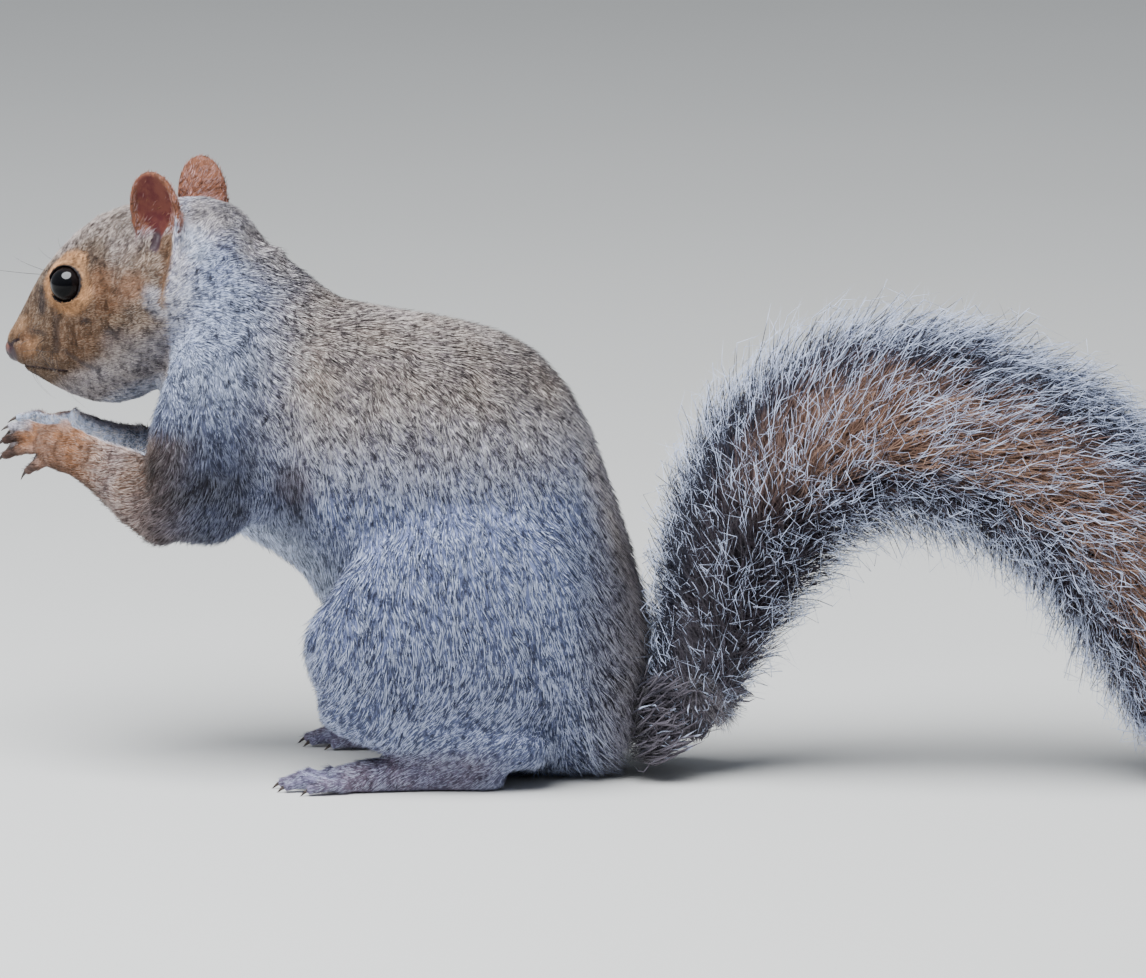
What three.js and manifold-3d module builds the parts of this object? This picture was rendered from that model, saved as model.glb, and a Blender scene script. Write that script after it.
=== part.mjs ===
// Eastern grey squirrel, sitting up on its haunches with both hands raised to its chin.
// Millimetres, +Z up, nose towards -Y, its left side towards +X. It sits on the plane Z = 0, on its
// rump, both soles and the tip of the tail. Every outline reaches to the tips of the coat.
import * as THREE from "three";
import { mergeVertices } from "three/addons/utils/BufferGeometryUtils.js";
import Module from "manifold-3d";

const wasm = await Module();
wasm.setup();

// ---- driving dimensions ----
const GAP = 0.3; // clear space left between neighbouring parts
const HEAD_AT = [0, -55.6, 143]; // where the skull turns on the neck
const HEAD_NOD = 30; // degrees, nose down
const HEAD_TURN = -15; // degrees about +Z, nose towards the squirrel's right
const EYE_RADIUS = 5.4;
const EYE_AT = [12.2, -33.4, 11.2]; // left eye, in the head's own frame
const NOSE_RADIUS = 3;
const NOSE_AT = [0, -61.9, 3.4];
const EAR_ROOT = [14.5, -8.8, -2.5]; // left ear, in the head's own frame
const EAR_TIP = [17.8, 7.8, 26.6];
const EAR_FACING = [0.95, -0.28, 0]; // the way its hollow looks
const EAR_HALF_WIDTH = 8.4;
const EAR_BROADEST = 0.46; // share of its length at which an ear is broadest
const EAR_TIP_SHARE = 1.005; // share of its length at which its rims would meet
const EAR_CUP = 5; // how far the middle of the hollow lies behind its rims, at the root
const EAR_FLATTENING = 0.5; // share of that hollow lost by the tip
const EAR_THICKNESS = 1.1;
const EAR_RIM_THINNING = 0.35;
const NECK_END = 0.22; // where the torso is parted, as a share of its run
const TAIL_CUTS = [0, 0.28, 0.56, 0.8, 1]; // where the tail is parted, as shares of its run

// ---- how finely each form is cut: rings along its run, points around it, rings in each round end ----
const TORSO_SHAPE = { along: 15, around: 18 };
const TAIL_SHAPE = { along: 22, around: 14 };
const HEAD_SHAPE = { along: 15, around: 20 };
const BALL_SHAPE = { along: 8, around: 12 };
const EAR_SHAPE = { along: 9, across: 7 };
const ARM_SHAPE = { along: 6, around: 12, dome: 2 };
const PALM_SHAPE = { along: 3, around: 9, dome: 2 };
const THUMB_SHAPE = { along: 1, around: 7, dome: 2 };
const DIGIT_SHAPE = { along: 3, around: 6, dome: 0 };
const THIGH_SHAPE = { along: 6, around: 16, dome: 3 };
const SHANK_SHAPE = { along: 4, around: 10, dome: 2 };
const SOLE_SHAPE = { along: 4, around: 10, dome: 2 };

const COLOURS = {
  grey: "#8d8a88",
  flank: "#8f8e95",
  brown: "#8b7560",
  tan: "#a9825a",
  ear: "#96604c",
  eye: "#0d0b0c",
  nose: "#4a3534",
  tail: "#76695f",
};

const WET = 0.05; // roughness of the eyes
const DRY = 0.85; // roughness of everything else

// ---- solids ----
const vec = (p) => new THREE.Vector3(...p);

// A geometry as a manifold solid, turned the right way out.
function solidOf(geometry) {
  const bare = geometry.clone();
  bare.deleteAttribute("normal");
  bare.deleteAttribute("uv");
  const merged = mergeVertices(bare, 1e-4);
  const triVerts = new Uint32Array(merged.index.array);
  const build = () =>
    new wasm.Manifold(
      new wasm.Mesh({ numProp: 3, vertProperties: merged.attributes.position.array, triVerts }),
    );
  const solid = build();
  if (solid.volume() > 0) return solid;
  for (let i = 0; i < triVerts.length; i += 3)
    [triVerts[i + 1], triVerts[i + 2]] = [triVerts[i + 2], triVerts[i + 1]];
  return build();
}

// The largest of a solid's separate bodies; a cut can leave slivers beside it.
function mainBody(solid) {
  return solid.decompose().reduce((a, b) => (a.volume() > b.volume() ? a : b));
}

// ---- lofts ----
const SQUARENESS = 2.12; // 2 gives oval sections; more fills out their corners
const SLOPE_STEP = 0.01; // share of a run over which its direction is measured

// One cross-section: a closed curve spanned by half-axes up, down and sideways from its centre.
function section({ centre, up, down, side }, around) {
  const pull = (v) => Math.sign(v) * Math.abs(v) ** (2 / SQUARENESS);
  return Array.from({ length: around }, (_, i) => {
    const angle = (i / around) * 2 * Math.PI;
    const [c, s] = [pull(Math.cos(angle)), pull(Math.sin(angle))];
    return centre.clone().addScaledVector(c > 0 ? up : down, Math.abs(c)).addScaledVector(side, s);
  });
}

// Triangles that fill an end ring from its middle point.
function fanCap(ring, offset, middle) {
  return ring.flatMap((_, i) => [middle, offset + i, offset + ((i + 1) % ring.length)]);
}

// Triangles that fill a crescent, whose second half runs back along its first.
function stripCap(ring, offset) {
  const last = ring.length - 1;
  return Array.from({ length: ring.length / 2 - 1 }, (_, i) => [
    [i, i + 1, last - i - 1],
    [i, last - i - 1, last - i],
  ])
    .flat(2)
    .map((k) => offset + k);
}

// A closed surface over a run of rings.
function skinOver(rings, crescent = false) {
  const n = rings[0].length;
  const points = rings.flat();
  const index = [];
  for (let r = 0; r < rings.length - 1; r++)
    for (let i = 0; i < n; i++) {
      const [a, b] = [r * n + i, r * n + ((i + 1) % n)];
      index.push(a, b, b + n, a, b + n, a + n);
    }
  for (const r of [0, rings.length - 1]) {
    let cap;
    if (crescent) cap = stripCap(rings[r], r * n);
    else {
      const middle = rings[r].reduce((sum, p) => sum.add(p), new THREE.Vector3());
      points.push(middle.divideScalar(n));
      cap = fanCap(rings[r], r * n, points.length - 1);
    }
    index.push(...(r === 0 ? cap.reverse() : cap));
  }
  const geometry = new THREE.BufferGeometry().setFromPoints(points);
  return geometry.setIndex(index);
}

// A smooth curve through values given at equal steps of a run from 0 to 1.
const through = (values) => new THREE.CatmullRomCurve3(values.map(vec), false, "catmullrom", 0.5);

// Rings of a body whose stations give a point on its back, one on its belly and half its width.
function bodyRings(stations, { from, to, along, around, grow = 0, inset = 0 }) {
  const back = through(stations.map((s) => [0, ...s.back]));
  const belly = through(stations.map((s) => [0, ...s.belly]));
  const half = through(stations.map((s) => [s.half, 0, 0]));
  const middle = (t) => back.getPoint(t).lerp(belly.getPoint(t), 0.5);
  return Array.from({ length: along + 1 }, (_, i) => {
    const t = from + ((to - from) * i) / along;
    const centre = middle(t);
    const up = back.getPoint(t).sub(centre);
    up.setLength(up.length() + grow);
    const [before, after] = [Math.max(t - SLOPE_STEP, 0), Math.min(t + SLOPE_STEP, 1)];
    const step = middle(after).sub(middle(before)).setLength(inset);
    if (i === 0) centre.add(step);
    if (i === along) centre.sub(step);
    const side = new THREE.Vector3(half.getPoint(t).x + grow, 0, 0);
    return section({ centre, up, down: up.clone().negate(), side }, around);
  });
}

// A limb with round ends, swept through stations: a point, half its depth and half its width.
// Width is measured across the body, as nearly as the limb's own direction lets it be.
function limb(stations, { along, around, dome, grow = 0 }) {
  const path = through(stations.map((s) => s.at));
  const size = through(stations.map((s) => [s.deep, s.wide ?? s.deep, 0]));
  const ring = (t, slope) => {
    const tangent = path.getTangent(t);
    const side = new THREE.Vector3(1, 0, 0).projectOnPlane(tangent).normalize();
    const up = tangent.clone().cross(side);
    const { x: deep, y: wide } = size.getPoint(t);
    const reach = Math.sin(slope) * (Math.min(deep, wide) + grow);
    up.multiplyScalar((deep + grow) * Math.cos(slope));
    side.multiplyScalar((wide + grow) * Math.cos(slope));
    const centre = path.getPoint(t).addScaledVector(tangent, reach);
    return section({ centre, up, down: up.clone().negate(), side }, around);
  };
  const slopes = Array.from({ length: dome }, (_, k) => ((dome - k) / (dome + 0.6)) * (Math.PI / 2));
  return solidOf(
    skinOver([
      ...slopes.map((a) => ring(0, -a)),
      ...Array.from({ length: along + 1 }, (_, i) => ring(i / along, 0)),
      ...slopes.reverse().map((a) => ring(1, a)),
    ]),
  );
}

// ---- left and right ----
// The same stations on the right side of the body.
const mirrored = (stations) => stations.map((s) => ({ ...s, at: [-s.at[0], s.at[1], s.at[2]] }));
const onSide = (side, stations) => (side === "left" ? stations : mirrored(stations));

// ---- torso ----
const TORSO = [
  { back: [-49, 153], belly: [-68, 106], half: 16.5 },
  { back: [-37, 150.8], belly: [-67, 91], half: 22 },
  { back: [-21, 136], belly: [-59, 76], half: 27.5 },
  { back: [0, 131], belly: [-44, 64], half: 30.5 },
  { back: [22, 127.5], belly: [-31, 57], half: 32.5 },
  { back: [40.5, 118.5], belly: [-20, 41], half: 33.5 },
  { back: [53, 100.5], belly: [-8, 22], half: 33.5 },
  { back: [61, 79], belly: [3, 6], half: 32.5 },
  { back: [66.5, 59.5], belly: [19.5, -0.5], half: 29.5 },
  { back: [70, 40], belly: [39, -2.5], half: 24 },
  { back: [69, 22], belly: [57, -1], half: 14 },
];

// The torso between two shares of its run, which goes from the nape to the root of the tail.
function torsoSolid(from, to, grow = 0) {
  const along = Math.round((to - from) * TORSO_SHAPE.along);
  const inset = grow > 0 ? 0 : GAP / 2;
  return solidOf(skinOver(bodyRings(TORSO, { ...TORSO_SHAPE, from, to, along, inset, grow })));
}

// ---- tail ----
const TAIL = [
  { back: [69, 40], belly: [70, 9], half: 11 },
  { back: [71, 50], belly: [92, 17.5], half: 15 },
  { back: [71.5, 66], belly: [111, 42], half: 19 },
  { back: [74.5, 85], belly: [121.5, 55], half: 22 },
  { back: [83.5, 107.5], belly: [125, 60], half: 24 },
  { back: [107, 129], belly: [131, 64], half: 25 },
  { back: [132, 134.8], belly: [143, 66.5], half: 25 },
  { back: [158, 132], belly: [156, 62], half: 25 },
  { back: [184, 121.5], belly: [171, 54], half: 25.5 },
  { back: [206, 109], belly: [182.5, 40], half: 26 },
  { back: [221, 91], belly: [192, 27], half: 25 },
  { back: [230.5, 67], belly: [200.5, 16.5], half: 22 },
  { back: [234, 42], belly: [209, 8.5], half: 17 },
  { back: [235, 20], belly: [218.5, 2], half: 10 },
  { back: [233.5, 6], belly: [226, -1.5], half: 4 },
];

function tailSolid(from, to) {
  const along = Math.round((to - from) * TAIL_SHAPE.along);
  return solidOf(skinOver(bodyRings(TAIL, { ...TAIL_SHAPE, from, to, along, inset: GAP / 2 })));
}

// ---- arms ----
const UPPER_ARM = [
  { at: [21, -48, 118], deep: 14, wide: 8.5 },
  { at: [25.5, -50, 101], deep: 18, wide: 10.5 },
  { at: [26.5, -51, 84], deep: 18.5, wide: 11 },
  { at: [25.5, -51.5, 75], deep: 14, wide: 9.5 },
];
const FOREARM = [
  { at: [25.5, -60.5, 77.5], deep: 13, wide: 8.5 },
  { at: [22, -70, 81.6], deep: 11.6, wide: 8 },
  { at: [17.5, -78.5, 85.6], deep: 8.8, wide: 6.6 },
  { at: [13.6, -86.4, 88.8], deep: 6.6, wide: 5.2 },
];
const PALM = [
  { at: [12.8, -88.6, 89.8], deep: 6.4, wide: 4.8 },
  { at: [11.4, -94, 91.4], deep: 6.6, wide: 4 },
  { at: [10.4, -98, 92], deep: 5.8, wide: 3 },
];
const THUMB_RADIUS = 1.4;
const THUMB = [
  { at: [10.2, -90.5, 94], deep: THUMB_RADIUS },
  { at: [9.2, -92.6, 97.6], deep: THUMB_RADIUS },
];
const FINGER_RADIUS = 1.6;
const TIP_SHARE = 0.85; // a digit's radius at its tip, as a share of that at its knuckle
const CLAW_RADIUS = 0.85; // at its root
const CLAW_POINT = 0.3; // its radius at the point
const CLAW_REACH = 3.4;
const CLAW_DROP = 1.7;
// Each finger leaves the palm at `root`, bends at `knuckle` and ends at `tip`, where its claw starts.
const FINGERS = [
  { root: [9, -95.5, 95.4], knuckle: [8.4, -103, 96.8], tip: [7.2, -108.4, 96.4] },
  { root: [9.6, -98.2, 93.6], knuckle: [8.8, -105, 94.2], tip: [7.4, -110.2, 92.4] },
  { root: [10.2, -98.2, 90.6], knuckle: [9.6, -104.8, 90.6], tip: [8, -110.2, 88.2] },
  { root: [10.8, -95, 87.8], knuckle: [10.6, -100, 86.6], tip: [9.6, -103.6, 84.2] },
];

// A digit that narrows into its claw, which carries on from the tip and hooks down.
function digit({ root, knuckle, tip }, side, radius) {
  const ahead = vec(tip).sub(vec(knuckle)).setLength(CLAW_REACH);
  const onward = (share, drop) => {
    const { x, y, z } = vec(tip).addScaledVector(ahead, share);
    return [x, y, z - drop];
  };
  const stations = [
    { at: root, deep: radius * 1.05 },
    { at: knuckle, deep: radius },
    { at: tip, deep: radius * TIP_SHARE },
    { at: onward(0.35, 0), deep: CLAW_RADIUS },
    { at: onward(1, CLAW_DROP), deep: CLAW_POINT },
  ];
  return limb(onSide(side, stations), DIGIT_SHAPE);
}

function handSolid(side) {
  const palm = limb(onSide(side, PALM), PALM_SHAPE).add(limb(onSide(side, THUMB), THUMB_SHAPE));
  return FINGERS.reduce((hand, finger) => hand.add(digit(finger, side, FINGER_RADIUS)), palm);
}

// ---- hind legs ----
const THIGH = [
  { at: [25.5, 42, 50], deep: 30, wide: 14.5 },
  { at: [27.5, 22, 47.5], deep: 34.5, wide: 16.5 },
  { at: [31, 0, 42], deep: 28, wide: 15 },
  { at: [33, -13.5, 37], deep: 18, wide: 11 },
];
const SHANK = [
  { at: [32.6, -12, 24], deep: 9.5, wide: 9.5 },
  { at: [32, 5, 19.5], deep: 11.5, wide: 10.5 },
  { at: [30, 24, 14.5], deep: 10.5, wide: 10 },
  { at: [27, 38, 12.5], deep: 7.5, wide: 8 },
];
const FOOT = [
  { at: [27.6, 27, 5], deep: 6.5, wide: 5.2 },
  { at: [28.6, 12, 4.4], deep: 6, wide: 5.2 },
  { at: [30.2, -3, 3.6], deep: 5.2, wide: 6.4 },
  { at: [31.6, -13.5, 2.6], deep: 3.8, wide: 7.6 },
];
const TOE_RADIUS = 1.75;
const TOES = [
  { root: [25.4, -11, 2.4], knuckle: [23.6, -17, 2.9], tip: [22.8, -22, 1.6] },
  { root: [28.6, -15, 2.6], knuckle: [27.6, -22.5, 3.3], tip: [27, -28.5, 1.6] },
  { root: [31.8, -16, 2.6], knuckle: [31.8, -24, 3.4], tip: [32, -30.5, 1.6] },
  { root: [35, -15, 2.6], knuckle: [36, -22.5, 3.3], tip: [37, -28.5, 1.6] },
  { root: [37.6, -11, 2.4], knuckle: [39.8, -17, 2.9], tip: [41.4, -21.6, 1.6] },
];

function footSolid(side) {
  const sole = limb(onSide(side, FOOT), SOLE_SHAPE);
  return TOES.reduce((foot, toe) => foot.add(digit(toe, side, TOE_RADIUS)), sole);
}

// ---- head, in its own frame: nose towards -Y ----
// Stations from the nose back: distance ahead of the neck joint, height of the profile above it
// and below it, half the width, and the height at which the head is widest.
const HEAD = [
  { ahead: 64.3, top: 5, bottom: 1.2, half: 2.6, level: 3.2 },
  { ahead: 62.8, top: 7.4, bottom: -2, half: 5, level: 2.6 },
  { ahead: 59.8, top: 9.8, bottom: -6.8, half: 6.8, level: 1.2 },
  { ahead: 55.8, top: 12, bottom: -12.8, half: 8.3, level: -0.6 },
  { ahead: 50.6, top: 15.4, bottom: -18.8, half: 10.2, level: -2.4 },
  { ahead: 44.5, top: 19, bottom: -23.4, half: 12.8, level: -3.6 },
  { ahead: 37.5, top: 22, bottom: -25.8, half: 15.6, level: -4.4 },
  { ahead: 29.5, top: 24.3, bottom: -26.2, half: 18, level: -5 },
  { ahead: 20, top: 25.4, bottom: -25.4, half: 19.6, level: -5 },
  { ahead: 10, top: 23.6, bottom: -24, half: 19.8, level: -4.6 },
  { ahead: 1, top: 20.2, bottom: -22, half: 18.6, level: -4 },
  { ahead: -7, top: 17, bottom: -19, half: 16, level: -3.2 },
  { ahead: -14, top: 12, bottom: -15, half: 12, level: -2.4 },
  { ahead: -18, top: 4, bottom: -9, half: 6.5, level: -2 },
];

function headForm(grow = 0) {
  const top = through(HEAD.map((s) => [0, -s.ahead, s.top + grow]));
  const bottom = through(HEAD.map((s) => [0, -s.ahead, s.bottom - grow]));
  const width = through(HEAD.map((s) => [s.half + grow, -s.ahead, s.level]));
  const { along, around } = HEAD_SHAPE;
  const rings = Array.from({ length: along + 1 }, (_, i) => {
    const t = i / along;
    const { x: half, y, z: level } = width.getPoint(t);
    const centre = new THREE.Vector3(0, y, level);
    const up = new THREE.Vector3(0, 0, top.getPoint(t).z - level);
    const down = new THREE.Vector3(0, 0, bottom.getPoint(t).z - level);
    return section({ centre, up, down, side: new THREE.Vector3(half, 0, 0) }, around);
  });
  return solidOf(skinOver(rings));
}

function ball(at, radius, grow = 0) {
  const sphere = new THREE.SphereGeometry(radius + grow, BALL_SHAPE.around, BALL_SHAPE.along);
  return solidOf(sphere.translate(...at));
}

// An ear: crescents stacked from root to tip, their hollow side towards EAR_FACING. It is broadest
// EAR_BROADEST of the way up, and narrows to a rounded tip.
function earSolid(side) {
  const flip = side === "left" ? 1 : -1;
  const place = ([x, y, z]) => new THREE.Vector3(flip * x, y, z);
  const root = place(EAR_ROOT);
  const axis = place(EAR_TIP).sub(root);
  const facing = place(EAR_FACING).projectOnPlane(axis.clone().normalize()).normalize();
  const across = axis.clone().normalize().cross(facing);
  const { along: levels, across: steps } = EAR_SHAPE;
  const crescent = (t) => {
    const narrow = Math.sqrt(1 - ((t - EAR_BROADEST) / (EAR_TIP_SHARE - EAR_BROADEST)) ** 2);
    const width = EAR_HALF_WIDTH * narrow;
    const cup = EAR_CUP * narrow * (1 - EAR_FLATTENING * t);
    const point = (s, front) => {
      const thick = front * EAR_THICKNESS * (1 - EAR_RIM_THINNING * s * s);
      return root
        .clone()
        .addScaledVector(axis, t)
        .addScaledVector(across, width * s)
        .addScaledVector(facing, cup * (s * s - 1) + thick);
    };
    const shares = Array.from({ length: steps }, (_, i) => (2 * i) / (steps - 1) - 1);
    return [...shares.map((s) => point(s, 0)), ...shares.reverse().map((s) => point(s, 1))];
  };
  const rings = Array.from({ length: levels + 1 }, (_, i) => crescent(i / levels));
  return solidOf(skinOver(rings, true));
}

// ---- assembly ----
const squirrel = new THREE.Group();
const parts = new Map(); // node name to { solid, colour }
const add = (name, solid, colour) => parts.set(name, { solid, colour });

const { degToRad } = THREE.MathUtils;
const headTilt = new THREE.Euler(degToRad(HEAD_NOD), 0, degToRad(HEAD_TURN), "ZXY");
const headMatrix = new THREE.Matrix4().makeRotationFromEuler(headTilt).setPosition(...HEAD_AT);
const onHead = (solid) => solid.transform(headMatrix.elements);
const eyeAt = { left: EYE_AT, right: [-EYE_AT[0], EYE_AT[1], EYE_AT[2]] };
const FLOOR_BLOCK = [900, 900, 100]; // everything under the floor
const below = solidOf(new THREE.BoxGeometry(...FLOOR_BLOCK).translate(0, 0, -FLOOR_BLOCK[2] / 2));

const head = ["left", "right"].reduce(
  (form, side) => form.subtract(ball(eyeAt[side], EYE_RADIUS, GAP)),
  headForm().subtract(ball(NOSE_AT, NOSE_RADIUS, GAP)),
);
add("head", onHead(head), COLOURS.brown);
add("nose", onHead(ball(NOSE_AT, NOSE_RADIUS)), COLOURS.nose);
const headGrown = onHead(headForm(GAP));
const torsoGrown = torsoSolid(0, NECK_END, GAP).add(torsoSolid(NECK_END, 1, GAP));
add("neck", torsoSolid(0, NECK_END).subtract(headGrown), COLOURS.grey);
add("trunk", torsoSolid(NECK_END, 1).subtract(headGrown).subtract(below), COLOURS.grey);

for (const side of ["left", "right"]) {
  const shape = (stations, options, grow = 0) => limb(onSide(side, stations), { ...options, grow });
  add(`eye_${side}`, onHead(ball(eyeAt[side], EYE_RADIUS)), COLOURS.eye);
  add(`ear_${side}`, onHead(earSolid(side).subtract(headForm(GAP))), COLOURS.ear);

  const forearm = shape(FOREARM, ARM_SHAPE)
    .subtract(shape(PALM, PALM_SHAPE, GAP))
    .subtract(headGrown)
    .subtract(torsoGrown);
  const upperArm = shape(UPPER_ARM, ARM_SHAPE)
    .subtract(shape(FOREARM, ARM_SHAPE, GAP))
    .subtract(headGrown)
    .subtract(torsoGrown);
  add(`upper_arm_${side}`, upperArm, COLOURS.flank);
  add(`forearm_${side}`, forearm, COLOURS.tan);
  add(`hand_${side}`, handSolid(side), COLOURS.tan);

  const footGrown = shape(FOOT, SOLE_SHAPE, GAP);
  const thigh = shape(THIGH, THIGH_SHAPE).subtract(footGrown).subtract(torsoGrown);
  const shank = shape(SHANK, SHANK_SHAPE)
    .subtract(shape(THIGH, THIGH_SHAPE, GAP))
    .subtract(footGrown)
    .subtract(torsoGrown)
    .subtract(below);
  add(`thigh_${side}`, thigh, COLOURS.flank);
  add(`shank_${side}`, shank, COLOURS.flank);
  add(`foot_${side}`, footSolid(side).subtract(torsoGrown).subtract(below), COLOURS.tan);
}

const TAIL_NAMES = ["tail_root", "tail_rise", "tail_fall", "tail_tip"];
TAIL_NAMES.forEach((name, i) => {
  const length = tailSolid(TAIL_CUTS[i], TAIL_CUTS[i + 1]).subtract(below);
  add(name, i === 0 ? length.subtract(torsoGrown) : length, COLOURS.tail);
});

for (const [name, { solid, colour }] of parts) {
  const { vertProperties, triVerts } = mainBody(solid).getMesh();
  const geometry = new THREE.BufferGeometry();
  geometry.setAttribute("position", new THREE.BufferAttribute(vertProperties, 3));
  geometry.setIndex(new THREE.BufferAttribute(triVerts, 1));
  geometry.computeVertexNormals();
  const roughness = name.startsWith("eye") ? WET : DRY;
  const material = new THREE.MeshStandardMaterial({ color: colour, roughness, metalness: 0 });
  const mesh = new THREE.Mesh(geometry, material);
  mesh.name = name;
  squirrel.add(mesh);
}

// The origin is on the floor, under the middle of the whole squirrel.
const box = new THREE.Box3().setFromObject(squirrel);
const middle = box.getCenter(new THREE.Vector3());
squirrel.position.set(-middle.x, -middle.y, -box.min.z);

export default squirrel;
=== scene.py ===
# %% [markdown]
# # A squirrel that sits up, life size
# This lesson turns the plain solids of a sitting squirrel into a furred model, as a museum would show it.
# The solids are the frame: they give the outline out to the tips of the coat, and they are never moved.
# What is made here goes over them in layers, as on a real animal: one skin, the eyes and nose that sit in
# it, claws, whiskers, and last the coat, which is thousands of small solid tufts lying along the body.

import math
from dataclasses import dataclass

import bpy
import numpy as np
import openvdb as vdb
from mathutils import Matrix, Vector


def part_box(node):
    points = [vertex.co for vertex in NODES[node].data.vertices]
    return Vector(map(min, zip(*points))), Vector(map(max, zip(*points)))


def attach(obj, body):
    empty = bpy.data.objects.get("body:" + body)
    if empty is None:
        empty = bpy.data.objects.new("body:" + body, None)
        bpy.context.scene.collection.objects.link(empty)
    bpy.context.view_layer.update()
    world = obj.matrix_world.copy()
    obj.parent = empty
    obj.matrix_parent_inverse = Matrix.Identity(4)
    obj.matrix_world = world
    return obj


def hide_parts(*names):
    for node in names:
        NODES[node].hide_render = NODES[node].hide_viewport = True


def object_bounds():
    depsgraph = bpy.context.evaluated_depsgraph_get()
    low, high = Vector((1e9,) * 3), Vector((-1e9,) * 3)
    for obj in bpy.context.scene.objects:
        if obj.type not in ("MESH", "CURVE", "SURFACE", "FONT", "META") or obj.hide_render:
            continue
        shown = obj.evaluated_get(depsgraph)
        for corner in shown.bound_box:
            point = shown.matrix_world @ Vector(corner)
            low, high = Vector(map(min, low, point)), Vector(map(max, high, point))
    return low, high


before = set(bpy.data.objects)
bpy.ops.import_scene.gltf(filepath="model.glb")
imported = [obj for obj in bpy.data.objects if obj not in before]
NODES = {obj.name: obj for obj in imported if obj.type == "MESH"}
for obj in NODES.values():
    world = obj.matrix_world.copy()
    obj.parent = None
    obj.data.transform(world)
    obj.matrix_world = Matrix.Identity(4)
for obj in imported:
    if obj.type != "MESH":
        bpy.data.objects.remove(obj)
CAD_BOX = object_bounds()
MM = 0.001
rng = np.random.default_rng(20)
print("frame", len(NODES), "nodes; box", [[round(float(v), 4) for v in corner] for corner in CAD_BOX])

# %% [markdown]
# ## Reading the solids
# Every step below starts from a solid's own corners and triangles, taken out of Blender as arrays.
# Arrays let one line of Python move a hundred thousand points, where a loop would take minutes.

# %% Corners, triangles and places
def shape_of(obj):
    """The corners and triangles of an object's mesh."""
    mesh = obj.data
    mesh.calc_loop_triangles()
    points = np.empty(len(mesh.vertices) * 3, np.float32)
    mesh.vertices.foreach_get("co", points)
    triangles = np.empty(len(mesh.loop_triangles) * 3, np.int32)
    mesh.loop_triangles.foreach_get("vertices", triangles)
    return points.reshape(-1, 3), triangles.reshape(-1, 3)


def joined(names):
    """Several nodes as one set of corners and triangles."""
    points, triangles, count = [], [], 0
    for name in names:
        p, t = shape_of(NODES[name])
        points.append(p)
        triangles.append(t + count)
        count += len(p)
    return np.concatenate(points), np.concatenate(triangles)


def place(node, across, along, up):
    """A point in a node's box, as shares of its width, length and height."""
    low, high = (np.array(corner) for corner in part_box(node))
    return low + (high - low) * np.array([across, along, up])


def unit(v):
    return v / np.maximum(np.linalg.norm(v, axis=-1, keepdims=True), 1e-12)


def middle(node):
    return place(node, 0.5, 0.5, 0.5)


TAIL = ["tail_root", "tail_rise", "tail_fall", "tail_tip"]
EARS = ["ear_left", "ear_right"]
SKIN_OF = [name for name in NODES if name != "nose" and not name.startswith("eye")]
THIN = [name for name in NODES if name.split("_")[0] in ("hand", "foot")]
print("solids under one skin:", len(SKIN_OF), "of which thin:", len(THIN))

# %% [markdown]
# ## The head's own directions
# The head is turned and nodded, so the face is shaped in the head's own directions: across it, back from
# the nose, and up through the crown. The line between the eyes gives the first. The line from the eyes to
# the nose lies a known angle below straight ahead, and that gives the other two.

# %% The head's axes
EYES = {side: middle(f"eye_{side}") for side in ("left", "right")}
EYE_RADIUS = (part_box("eye_left")[1][2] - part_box("eye_left")[0][2]) / 2
BROW = (EYES["left"] + EYES["right"]) / 2  # the point between the eyes, from which the face is measured
NOSE_DROP = math.radians(15.3)  # how far the nose lies below straight ahead of the eyes
ACROSS = unit(EYES["left"] - EYES["right"])
to_nose = unit(middle("nose") - BROW)
level = unit(to_nose - ACROSS * (to_nose @ ACROSS))
crown = unit(np.cross(ACROSS, -level))
BACK = -(level * math.cos(NOSE_DROP) + crown * math.sin(NOSE_DROP))
CROWN = unit(np.cross(ACROSS, BACK))
HEAD = np.stack([ACROSS, BACK, CROWN], axis=1)


def on_head(across, back, up):
    """A point given in millimetres across, back and up from the brow, in the model's frame."""
    return BROW + HEAD @ (np.array([across, back, up]) * MM)


def in_head(points):
    """Points of the model as millimetres across, back and up from the brow."""
    return (points - BROW) @ HEAD / MM


print("head: back", BACK.round(3), "crown", CROWN.round(3), "nose at", in_head(middle("nose")).round(1))

# %% [markdown]
# ## A grooming map
# A taxidermist combs a coat by hand, and knows for each part of the body how long the hair is, how deep the
# coat stands over the skin and which way it lies. Here that knowledge is a short list of guides. Each one
# has a place on the body, a direction and a kind of coat, and every hair later takes a blend of the guides
# around it, so the lie of the coat turns smoothly from the nose to the toes.

# %% Kinds of coat
@dataclass
class Coat:
    depth: float  # skin to coat tips, in mm
    length: float  # of one tuft, in mm
    width: float  # of one tuft, in mm
    lift: float  # how far it stands off the skin, in degrees
    crowd: float  # tufts to a square millimetre
    mixed: float  # how much its hairs differ in colour, from 0 to 1


COATS = {
    "muzzle": Coat(0.35, 1.2, 0.2, 10, 17.0, 0.35),
    "face": Coat(0.8, 1.9, 0.25, 12, 11.5, 0.4),
    "crown": Coat(1.1, 2.6, 0.32, 14, 8.0, 0.6),
    "ear": Coat(0.1, 1.1, 0.2, 7, 8.0, 0.3),
    "nape": Coat(2.0, 4.2, 0.42, 17, 4.4, 0.85),
    "back": Coat(2.3, 4.6, 0.45, 17, 4.0, 0.9),
    "flank": Coat(2.4, 5.0, 0.45, 17, 3.9, 0.85),
    "rump": Coat(2.6, 6.0, 0.48, 19, 3.4, 0.7),
    "skirt": Coat(2.6, 9.5, 0.5, 26, 3.6, 0.8),
    "belly": Coat(2.2, 5.4, 0.48, 19, 3.2, 0.4),
    "arm": Coat(1.7, 3.8, 0.4, 16, 5.0, 0.8),
    "wrist": Coat(0.9, 2.9, 0.3, 15, 8.0, 0.8),
    "paw": Coat(0.4, 1.8, 0.22, 12, 13.0, 0.7),
}

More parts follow.
